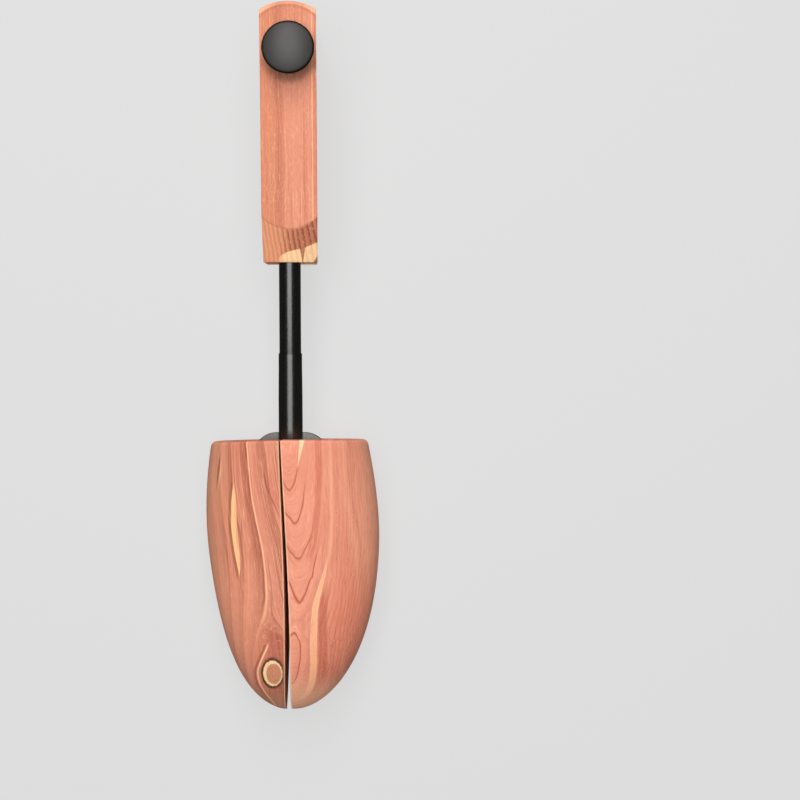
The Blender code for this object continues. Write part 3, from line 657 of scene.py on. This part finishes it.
def plate_paint():
    """Dark satin paint on the plate, greener on its right side than on its left, and mottled."""
    g = Graph("plate_paint")
    mottle = g.even_noise(0.3, detail=3.0)
    grit = g.even_noise(3.0)
    side = g.step(g.x, -6.0, 6.0)
    g.colour = g.mix(side, (0.092, 0.082, 0.082, 1.0), (0.110, 0.116, 0.096, 1.0))
    g.tint(g.step(mottle, -0.2, 0.2) * 0.5, (0.085, 0.082, 0.078, 1.0))
    g.relief(grit, 0.02)
    return g.set(base_color=g.colour, roughness=0.36 + grit * 0.2 + mottle * 0.2, metallic=0.35)


def knob_black():
    """Satin black, faintly turned, with fine scuffs on the dome and painted shade on the bevel round it."""
    g = Graph("knob_black")
    radius = knob_distance(g)
    turned_line = g.noise(radius * 3.0, 0.0, g.z * 3.0, detail=2.0)
    scuff = g.noise(g.x * 0.35, g.y * 1.6, g.z, detail=3.0, roughness=0.6)
    grit = g.even_noise(5.0)
    g.colour = g.mix(g.step(scuff, 0.05, 0.3) * 0.4, (0.020, 0.017, 0.016, 1.0), (0.034, 0.030, 0.028, 1.0))
    g.relief(turned_line * 0.5 + grit * 0.5, 0.006)
    # painted shade: the bevel round the dome darker and less glossy
    dome_edge = (KNOB_RADIUS - KNOB_RIM) / MM
    rim = g.step(radius, dome_edge - 0.05, dome_edge + 0.05)
    g.tint(rim, (0.007, 0.005, 0.004, 1.0))
    return g.set(base_color=g.colour, roughness=0.52 + scuff * 0.14 + grit * 0.10,
                 specular_ior_level=0.55 - rim * 0.45)


def metal(name, low, high, roughness):
    """Bare metal with fine turning marks and a slightly uneven tone."""
    g = Graph(name)
    tone = g.even_noise(0.4, detail=3.0)
    marks = g.noise(g.x * 1.0, g.y * 9.0, g.z * 1.0, detail=2.0)
    g.relief(marks, 0.008)
    return g.set(base_color=g.mix(g.step(tone, -0.25, 0.25), low, high), metallic=1.0,
                 roughness=roughness + marks * 0.2 + tone * 0.15)


# Shapes

def add_object(name, data):
    item = bpy.data.objects.new(name, data)
    bpy.context.scene.collection.objects.link(item)
    return item


def new_piece(name, mesh, sharp, material, body, node):
    """A finished piece that rides on a body and stands for a node. Edges over sharp degrees stay sharp."""
    mesh.name = name
    mesh.shade_smooth()
    mesh.set_sharp_from_angle(angle=math.radians(sharp))
    mesh.materials.clear()
    mesh.materials.append(material)
    piece = add_object(name, mesh)
    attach(piece, body)
    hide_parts(node)
    return piece


def mesh_from(bm, place=Matrix.Identity(4)):
    bmesh.ops.recalc_face_normals(bm, faces=bm.faces)
    mesh = bpy.data.meshes.new("shape")
    bm.to_mesh(mesh)
    bm.free()
    mesh.transform(place)
    return mesh


def welded(item, place=Matrix.Identity(4)):
    """An object's final mesh, with vertices joined that lie on each other. The object goes."""
    bm = bmesh.new()
    bm.from_mesh(bpy.data.meshes.new_from_object(item.evaluated_get(bpy.context.evaluated_depsgraph_get())))
    bmesh.ops.remove_doubles(bm, verts=bm.verts, dist=0.001 * MM)
    mesh = mesh_from(bm, place)
    bpy.data.objects.remove(item, do_unlink=True)
    return mesh


def loft(rings):
    """A closed solid through rings of equally many points, capped at both ends."""
    bm = bmesh.new()
    rows = [[bm.verts.new(point) for point in ring] for ring in rings]
    count = len(rows[0])
    for low, high in zip(rows, rows[1:]):
        for i in range(count):
            j = (i + 1) % count
            bm.faces.new((low[i], low[j], high[j], high[i]))
    bm.faces.new(rows[0])
    bm.faces.new(rows[-1])
    return mesh_from(bm)


TURNED_STEPS = 128


def turned(profile, place):
    """A closed profile of (radius, height) turned about Z and put in its place."""
    bm = bmesh.new()
    rows = []
    for radius, height in profile:
        if radius < 1e-7:
            rows.append([bm.verts.new((0.0, 0.0, height))])
            continue
        angles = [2 * math.pi * i / TURNED_STEPS for i in range(TURNED_STEPS)]
        rows.append([bm.verts.new((radius * math.cos(a), radius * math.sin(a), height)) for a in angles])
    for row, following in zip(rows, rows[1:] + rows[:1]):
        for i in range(TURNED_STEPS):
            j = (i + 1) % TURNED_STEPS
            corners = [row[i % len(row)], row[j % len(row)], following[j % len(following)],
                       following[i % len(following)]]
            distinct = list(dict.fromkeys(corners))
            if len(distinct) > 2:
                bm.faces.new(distinct)
    return mesh_from(bm, place)


def arc(centre, radius, start, end, steps):
    """Points on an arc in a profile's plane, from one angle to another in degrees."""
    points = []
    for i in range(steps + 1):
        angle = math.radians(start + (end - start) * i / steps)
        points.append((centre[0] + radius * math.cos(angle), centre[1] + radius * math.sin(angle)))
    return points


def line(start, end, steps):
    """Points from start up to, and not with, end."""
    points = []
    for i in range(1, steps):
        share = i / steps
        points.append(tuple(a + (b - a) * share for a, b in zip(start, end)))
    return points


def on_shaft(s, u=0.0, w=0.0):
    """Moves a piece s along the shaft, u across it and w above it."""
    return SHAFT @ Matrix.Translation((u, s, w))


def cylinder(radius, length, place):
    bm = bmesh.new()
    bmesh.ops.create_cone(bm, cap_ends=True, segments=64, radius1=radius, radius2=radius, depth=length)
    return mesh_from(bm, place)


def block(size, place):
    bm = bmesh.new()
    bmesh.ops.create_cube(bm, size=1.0, matrix=Matrix.Diagonal((*size, 1.0)))
    return mesh_from(bm, place)


def carve(mesh, tools):
    """The mesh with the tools cut out of it."""
    item = add_object("carved", mesh)
    helpers = [add_object("tool", tool) for tool in tools]
    for helper in helpers:
        boolean = item.modifiers.new("cut", "BOOLEAN")
        boolean.operation = "DIFFERENCE"
        boolean.solver = "EXACT"
        boolean.object = helper
    carved = welded(item)
    for helper in helpers:
        bpy.data.objects.remove(helper, do_unlink=True)
    return carved


# Toe halves

def toe_swing(u):
    return math.sin(math.pi * u ** BEND_POWER)


def toe_middle(u):
    return TOE_BEND * toe_swing(u) - TOE_REAR_SHIFT * (1 - u)


def split_face(u, side):
    straight = SPLIT_REAR[side] + (SPLIT_NOSE[side] - SPLIT_REAR[side]) * u
    return straight + SPLIT_BEND * toe_swing(u)


def toe_width(u):
    waist = WAIST * max(0.0, 1 - u / WAIST_END) ** 2
    return (TOE_HALF_WIDTH - waist) * math.sqrt(1 - u ** 3)


def toe_crown(u):
    line = TOE_HEIGHT - CROWN_FALL * u
    return NOSE_HEIGHT + (line - NOSE_HEIGHT) * math.sqrt(1 - u ** CROWN_POWER)


def toe_sole(u):
    return NOSE_HEIGHT * (1 - math.sqrt(1 - u ** 6)) - GAP


def toe_belly(u):
    return BELLY_HEIGHT + (NOSE_HEIGHT - BELLY_HEIGHT) * u ** 4


def round_over(distance, radius):
    """How far a rounded edge is drawn in, at a distance from the face that it meets."""
    share = max(0.0, 1 - distance / radius)
    return radius * (1 - math.sqrt(1 - share ** 2))


def toe_ring(u, side):
    """One cross-section of a half, from its inner face round sole, side and crown and back."""
    inner = split_face(u, side) + side * round_over(u * TOE_LENGTH, INNER_EDGE)
    from_end = min(u, TOE_END - u) * TOE_LENGTH
    edge = round_over(from_end, TOE_EDGE)
    side_edge = round_over(from_end, TOE_SIDE_EDGE if u < 0.5 else TOE_EDGE)
    width = abs(toe_middle(u) + side * toe_width(u) - inner) - side_edge
    belly = toe_belly(u)
    crown = toe_crown(u) - edge
    sole = max(toe_sole(u) + edge, edge)
    corner = min(INNER_EDGE, 0.3 * width, 0.3 * (crown - belly))
    outline = arc((corner, sole + corner), corner, 180, 270, 5)
    for i in range(1, SOLE_STEPS):
        angle = 0.5 * math.pi * (1 - i / SOLE_STEPS)
        x = corner + (width - corner) * math.cos(angle) ** SOLE_ROUND
        z = belly + (toe_sole(u) + edge - belly) * math.sin(angle) ** SOLE_ROUND
        outline.append((x, max(z, sole)))
    for i in range(CROWN_STEPS):
        angle = 0.5 * math.pi * i / CROWN_STEPS
        x = corner + (width - corner) * math.cos(angle) ** CROWN_ROUND[0]
        outline.append((x, belly + (crown - belly) * math.sin(angle) ** CROWN_ROUND[1]))
    outline += arc((corner, crown - corner), corner, 90, 180, 5)
    ring = []
    for x, z in outline:
        place = inner + side * x
        fall_back = REAR_SLANT[side] * abs(place) * (1 - u) ** 3
        ring.append((place, TOE_REAR_Y - TOE_LENGTH * u - fall_back, z))
    return ring


def toe_stations():
    """Shares of the block's length, close together where it curves most."""
    edge = [TOE_SIDE_EDGE / TOE_LENGTH * (1 - math.cos(math.radians(15 * i))) for i in range(6)]
    along = [0.02 + (TOE_END - 0.02) * math.sin(0.5 * math.pi * i / 72) ** 0.95 for i in range(72)]
    nose = [TOE_END - TOE_EDGE / TOE_LENGTH * (1 - math.sin(math.radians(18 * i))) for i in range(6)]
    return sorted(set(edge + [u for u in along if u < nose[0]] + nose))


def toe_tools():
    slot_width = 2 * (PLATE_FLAT + PLATE_RADIUS + 2 * MM)
    slot_depth = 2 * PLATE_RADIUS + 6 * MM
    slot = block((slot_width, slot_depth, PLATE_THICKNESS + 2 * GAP),
                 on_shaft(PLATE_S - PLATE_RADIUS - MM + slot_depth / 2))
    pocket_length = 40 * MM
    pocket = cylinder(POCKET_RADIUS, pocket_length, on_shaft(PLUG_FRONT - 2 * MM + pocket_length / 2) @ ALONG)
    spring_bore = cylinder(SPREAD_BORE, 2 * SPREAD_DEPTH, across_at(SPREAD_MIDDLE, SPREAD_Y, SPREAD_Z))
    return [slot, pocket, spring_bore]


def across_at(x, y, z):
    """Places a Z-axis piece at a point, lying across the tree."""
    return Matrix.Translation((x, y, z)) @ Matrix.Rotation(math.pi / 2, 4, "Y")


def toe_half(name, side, material, body, node):
    tools = toe_tools()
    pivot_length = 80 * MM
    tools.append(cylinder(PIVOT_RADIUS + GAP, pivot_length,
                          on_shaft(PLATE_S, side * PIVOT_U, PIVOT_HIGH + GAP - pivot_length / 2)))
    if side < 0:
        tools.append(cylinder(GUIDE_RADIUS + GAP, 2 * GUIDE_GRIP,
                              across_at(SPREAD_START - GAP, SPREAD_Y, SPREAD_Z)))
    mesh = carve(loft([toe_ring(u, side) for u in toe_stations()]), tools)
    return new_piece(name, mesh, 32, material, body, node)


def toe_plate(material):
    """The plate with its edges broken, notched for the tube and drilled for the pivots and the rivet."""
    edge = 0.35 * MM
    curve = bpy.data.curves.new("plate", "CURVE")
    curve.dimensions = "2D"
    curve.fill_mode = "BOTH"
    curve.extrude = PLATE_THICKNESS / 2 - edge
    curve.bevel_depth = edge
    curve.bevel_resolution = 3
    curve.offset = -edge
    right = arc((PLATE_FLAT, PLATE_S), PLATE_RADIUS, 90, -90, 40)
    left = arc((-PLATE_FLAT, PLATE_S), PLATE_RADIUS, 270, 90, 40)
    notch_half = OUTER_RADIUS - 0.1 * MM
    notch_end = OUTER_FRONT - GAP
    notch = [(-notch_half, PLATE_PROUD), (-notch_half, notch_end), (notch_half, notch_end),
             (notch_half, PLATE_PROUD)]
    loops = [right + left + notch]
    for x, y, radius in ((-PIVOT_U, PLATE_S, PIVOT_RADIUS), (PIVOT_U, PLATE_S, PIVOT_RADIUS),
                         (0.0, RIVET_S, RIVET_RADIUS + GAP)):
        loops.append(arc((x, y), radius + PIN_PLAY, 0, 350, 35))
    for points in loops:
        spline = curve.splines.new("POLY")
        spline.points.add(len(points) - 1)
        for knot, (x, y) in zip(spline.points, points):
            knot.co = (x, y, 0.0, 1.0)
        spline.use_cyclic_u = True
    mesh = welded(add_object("curve", curve), SHAFT)
    return new_piece("steel_toe_plate", mesh, 32, material, "bracket", "toe_plate")


def coil(name, length, turns, radius, wire, place, material, body, node):
    """A compression spring with closed ends."""
    per_turn = 28
    closed = 1.0                    # turns at each end that lie against the next
    curve = bpy.data.curves.new(name, "CURVE")
    curve.dimensions = "3D"
    curve.bevel_depth = wire
    curve.bevel_resolution = 4
    curve.use_fill_caps = True
    spline = curve.splines.new("POLY")
    count = turns * per_turn + 1
    spline.points.add(count - 1)
    closed_rise = 2.1 * wire * closed
    open_rise = length - 2 * wire - 2 * closed_rise
    for i in range(count):
        turn = i / per_turn
        rise = closed_rise * min(turn / closed, 1.0)
        rise += open_rise * min(max((turn - closed) / (turns - 2 * closed), 0.0), 1.0)
        rise += closed_rise * max((turn - turns + closed) / closed, 0.0)
        angle = 2 * math.pi * turn
        spline.points[i].co = (radius * math.cos(angle), radius * math.sin(angle), wire + rise, 1.0)
    mesh = welded(add_object("curve", curve), place)
    return new_piece(name, mesh, 50, material, body, node)


# Tubes

def outer_tube(material):
    """The front tube: its wall drawn in at the mouth, and the lip rolled over."""
    taper = 3.0 * MM
    swell = OUTER_MOUTH - 22 * MM
    lip = 0.16 * MM
    profile = [(MOUTH_BORE, OUTER_MOUTH - taper), (OUTER_BORE, OUTER_MOUTH - taper - MM),
               (OUTER_BORE, OUTER_FRONT), (OUTER_RADIUS - 0.1 * MM, OUTER_FRONT),
               (OUTER_RADIUS, OUTER_FRONT + 0.1 * MM)]
    for i in range(9):
        share = i / 8
        bend = share * share * (3 - 2 * share)
        profile.append((OUTER_RADIUS + (MOUTH_RADIUS - OUTER_RADIUS) * bend,
                        swell + (OUTER_MOUTH - taper - swell) * share))
    profile += arc((MOUTH_RADIUS - lip, OUTER_MOUTH - lip), lip, 0, 90, 5)
    profile.append((MOUTH_BORE, OUTER_MOUTH))
    mesh = turned(profile, SHAFT @ ALONG)
    return new_piece("outer_tube_painted", mesh, 35, material, "bracket", "outer_tube")


def cross_pin_hole():
    return cylinder(CROSS_PIN_RADIUS + GAP, 40 * MM, SHAFT @ across_at(0.0, CROSS_PIN_S, 0.0))


def inner_tube(material):
    """The rear tube, with its end edges broken and a hole for the cross pin."""
    edge = 0.15 * MM
    profile = [(INNER_BORE, INNER_FRONT)]
    profile += arc((TUBE_RADIUS - edge, INNER_FRONT + edge), edge, 270, 360, 4)
    profile += arc((TUBE_RADIUS - edge, INNER_REAR - edge), edge, 0, 90, 4)
    profile.append((INNER_BORE, INNER_REAR))
    mesh = carve(turned(profile, SHAFT @ ALONG), [cross_pin_hole()])
    return new_piece("inner_tube_painted", mesh, 35, material, "heel", "inner_tube")


# Heel block

def ramp_height(y):
    start = NOSE_TOP + NOSE_SLOPE * NOSE_RUN
    return start + RAMP_SLOPE * (y - HEEL_FRONT_Y - NOSE_RUN)


def heel_outline(x):
    """The side outline of the heel block at one place across its width, as (y, z)."""
    edge = HEEL_FRONT_EDGE
    arch = NOSE_ARCH - math.sqrt(NOSE_ARCH ** 2 - x ** 2)
    brow = NOSE_TOP - arch
    nose_run = NOSE_RUN + arch / (NOSE_SLOPE - RAMP_SLOPE)
    front = HEEL_FRONT_Y
    rear = HEEL_REAR_Y - HEEL_END_RADIUS + math.sqrt(HEEL_END_RADIUS ** 2 - x ** 2)
    ramp_end = rear - HEEL_TOP_BACK - HEEL_TOP_EDGE
    edge_z = ramp_height(ramp_end) - HEEL_TOP_EDGE
    foot_end = rear - HEEL_FOOT_BACK - HEEL_FOOT_RADIUS
    outline = arc((front + edge, NOSE_BOTTOM + edge), edge, 250, 180, 4)
    outline += line((front, NOSE_BOTTOM + edge), (front, brow - edge), 4)
    outline += arc((front + edge, brow - edge * 0.65), edge, 180, 114, 4)
    ramp_start = (front + nose_run, ramp_height(front + nose_run))
    outline += line((front + edge, brow + NOSE_SLOPE * edge), ramp_start, 10)
    outline.append(ramp_start)
    outline += line(ramp_start, (ramp_end, ramp_height(ramp_end)), 24)
    outline += arc((ramp_end, edge_z), HEEL_TOP_EDGE, 80, 5, 8)
    for i in range(1, 12):
        share = i / 12
        back = HEEL_TOP_BACK + (HEEL_FOOT_BACK - HEEL_TOP_BACK) * share
        z = edge_z + (HEEL_FOOT_RADIUS - edge_z) * share
        outline.append((rear - back * (1 - math.sin(math.pi * share)), z))
    outline += arc((foot_end, HEEL_FOOT_RADIUS), HEEL_FOOT_RADIUS, 0, -90, 14)
    bends = [(foot_end, 0.0), (front + HEEL_FLAT_START, 0.0), (front + SHANK_START, SHANK_Z),
             (front + 4 * edge, NOSE_BOTTOM - edge)]
    for start, end in zip(bends, bends[1:]):
        outline += line(start, end, 10)
    outline.append(bends[-1])
    return outline


def heel_ring(x, inset):
    """The outline drawn in by inset, with the block's sides falling inwards below the upper face."""
    top = ramp_height(HEEL_REAR_Y)
    middle = HEEL_FRONT_Y + HEEL_LENGTH / 2
    ring = []
    for y, z in heel_outline(x):
        y = middle + (y - middle) * (1 - 2 * inset / HEEL_LENGTH)
        z = top / 2 + (z - top / 2) * (1 - 2 * inset / top)
        draw = HEEL_TAPER * max(0.0, ramp_height(y) - z)
        ring.append((HEEL_X + x * (1 - 2 * draw / HEEL_WIDTH), y, z))
    return ring


def heel_block(material):
    half = HEEL_WIDTH / 2
    edge = arc((half - HEEL_EDGE, HEEL_EDGE), HEEL_EDGE, 0, -90, 6)
    inside = [(half - HEEL_EDGE) * i / 14 for i in range(-13, 14)]
    stations = [(-x, inset) for x, inset in edge] + [(x, 0.0) for x in inside] + edge[::-1]
    bore_length = TUBE_IN_HEEL + 20 * MM
    tools = [
        cylinder(TUBE_RADIUS + GAP, bore_length, on_shaft(INNER_REAR + GAP - bore_length / 2) @ ALONG),
        cross_pin_hole(),
        cylinder(KNOB_SEAT_RADIUS, 20 * MM, Matrix.Translation((KNOB_X, KNOB_Y, KNOB_SEAT_Z + 10 * MM))),
        cylinder(KNOB_INSERT_RADIUS + GAP, 30 * MM, Matrix.Translation((KNOB_X, KNOB_Y, KNOB_SEAT_Z))),
    ]
    mesh = carve(loft([heel_ring(x, inset) for x, inset in stations]), tools)
    return new_piece("heel_block_wood", mesh, 12, material, "heel", "heel_block")


# Knob

def knob(material):
    """A low dome with a turned-down rim, an undercut and a narrow neck, bored from below for its stud."""
    neck = KNOB_SEAT_Z + 1.4 * MM
    brim = KNOB_SEAT_Z + 5.4 * MM
    lip = 1.3 * MM
    dome_radius = KNOB_RADIUS - KNOB_RIM
    dome_low = KNOB_TOP_Z - KNOB_DOME
    profile = [(0.0, brim + 4.4 * MM), (2.8 * MM, brim + 3.8 * MM), (2.8 * MM, neck), (5.4 * MM, neck)]
    profile += arc((5.6 * MM, neck + 0.2 * MM), 0.2 * MM, 270, 360, 3)
    profile += [(5.8 * MM + 3.2 * MM * (i / 6) ** 2, brim - 1.6 * MM + 1.5 * MM * i / 6) for i in range(7)]
    foot = KNOB_RADIUS - KNOB_DRAW
    profile += arc((foot - lip, brim + lip), lip, -80, 0, 8)
    profile += line((foot, brim + lip), (KNOB_RADIUS, dome_low - KNOB_BEVEL), 4)
    profile += [(KNOB_RADIUS - 0.04 * MM, dome_low - KNOB_BEVEL + 0.03 * MM), (dome_radius, dome_low)]
    for i in range(1, 17):
        share = 1 - i / 16
        profile.append((dome_radius * share, KNOB_TOP_Z - KNOB_DOME * share ** 2.2))
    mesh = turned(profile, Matrix.Translation((KNOB_X, KNOB_Y, 0.0)))
    return new_piece("knob_turned", mesh, 40, material, "heel", "knob")


# Stage

def stage_piece(name, bm, rise, tooth, shade, glow):
    """A plain pale surface that glows a little. Gloss does not mirror it."""
    mesh = mesh_from(bm, Matrix.Translation((0.0, 0.0, rise)))
    item = add_object(name, mesh)
    g = Graph(name + "_paper")
    g.relief(g.even_noise(tooth), 0.01)
    mesh.materials.append(g.set(base_color=(shade, shade, shade, 1.0), roughness=0.95, specular_ior_level=0.0,
                                emission_color=(1.0, 1.0, 1.0, 1.0), emission_strength=glow))
    item.visible_glossy = False
    return item


def floor():
    """A wide floor, its glow keeping the shadows on it faint."""
    bm = bmesh.new()
    bmesh.ops.create_circle(bm, cap_ends=True, segments=96, radius=6.0)
    stage_piece("floor", bm, rise=-0.2 * MM, tooth=0.8, shade=0.11, glow=0.612)


def backdrop():
    """A wall far round the floor. It gives no light, so that it only fills what lies behind the tree."""
    bm = bmesh.new()
    bmesh.ops.create_cone(bm, cap_ends=False, segments=96, radius1=5.9, radius2=5.9, depth=6.0)
    wall = stage_piece("backdrop", bm, rise=2.99, tooth=0.1, shade=0.02, glow=0.625)
    wall.visible_diffuse = False
    wall.visible_shadow = False


def softbox(name, place, size, power, tilt):
    """A soft panel that faces down, or leans towards the tree."""
    light = bpy.data.lights.new(name, "AREA")
    light.shape = "RECTANGLE"
    light.size, light.size_y = size
    light.energy = power
    item = add_object(name, light)
    item.location = place
    item.rotation_euler = (tilt, 0.0, 0.0)
    item.visible_camera = False


def surroundings():
    world = bpy.data.worlds.new("studio")
    world.use_nodes = True
    glow = world.node_tree.nodes["Background"].inputs
    glow["Color"].default_value = (1.0, 0.99, 0.98, 1.0)
    glow["Strength"].default_value = SURROUND
    bpy.context.scene.world = world
    bpy.context.scene.view_settings.view_transform = "Standard"


def camera():
    data = bpy.data.cameras.new("camera")
    data.lens = LENS
    data.sensor_width = 36.0
    data.clip_start = 0.01
    data.clip_end = 20.0
    item = add_object("camera", data)
    item.location = CAMERA_PLACE
    bpy.context.scene.camera = item


def dress_frame(steel, brass):
    """The small parts inside keep their frame shapes and get metal finishes."""
    finishes = {
        steel: ("pivot_pin_left", "pivot_pin_right", "spread_guide_pin", "front_plug", "plug_rivet",
                "tie_rod", "thrust_ring", "seat_snap_ring", "heel_cross_pin", "knob_stud", "knob_washer"),
        brass: ("stop_nut", "spring_seat", "knob_insert"),
    }
    for material, names in finishes.items():
        for name in names:
            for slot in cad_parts[name].material_slots:
                slot.material = material


camera()
surroundings()
softbox("softbox", SOFTBOX_PLACE, SOFTBOX_SIZE, SOFTBOX_POWER, 0.0)
softbox("rear_light", REAR_LIGHT_PLACE, REAR_LIGHT_SIZE, REAR_LIGHT_POWER, REAR_LIGHT_TILT)
floor()
backdrop()

paint = black_paint()
steel = metal("turned_steel", (0.42, 0.42, 0.43, 1.0), (0.60, 0.60, 0.60, 1.0), 0.30)
spring_wire = metal("spring_wire", (0.07, 0.07, 0.075, 1.0), (0.13, 0.13, 0.135, 1.0), 0.42)
brass = metal("brass", (0.58, 0.40, 0.16, 1.0), (0.74, 0.55, 0.25, 1.0), 0.28)

toe_half("toe_half_left_wood", -1, cedar_left(), "toe_left", "toe_half_left")
toe_half("toe_half_right_wood", 1, cedar_right(), "toe_right", "toe_half_right")
toe_plate(plate_paint())
outer_tube(paint)
inner_tube(paint)
heel_block(cedar_heel())
knob(knob_black())
coil("spread_spring_wire", 2 * (SPREAD_DEPTH - GAP) - SPREAD_PLAY, 9, 3.4 * MM, 0.45 * MM,
     across_at(SPREAD_START, SPREAD_Y, SPREAD_Z), spring_wire, "toe_left", "spread_spring")
spring_front = PLUG_REAR + GAP
main_spring = coil("main_spring_wire", SPRING_REAR - GAP - spring_front, 18, COIL_RADIUS, COIL_WIRE,
                   on_shaft(spring_front) @ ALONG, spring_wire, "bracket", "main_spring")
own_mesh(main_spring)
dress_frame(steel, brass)
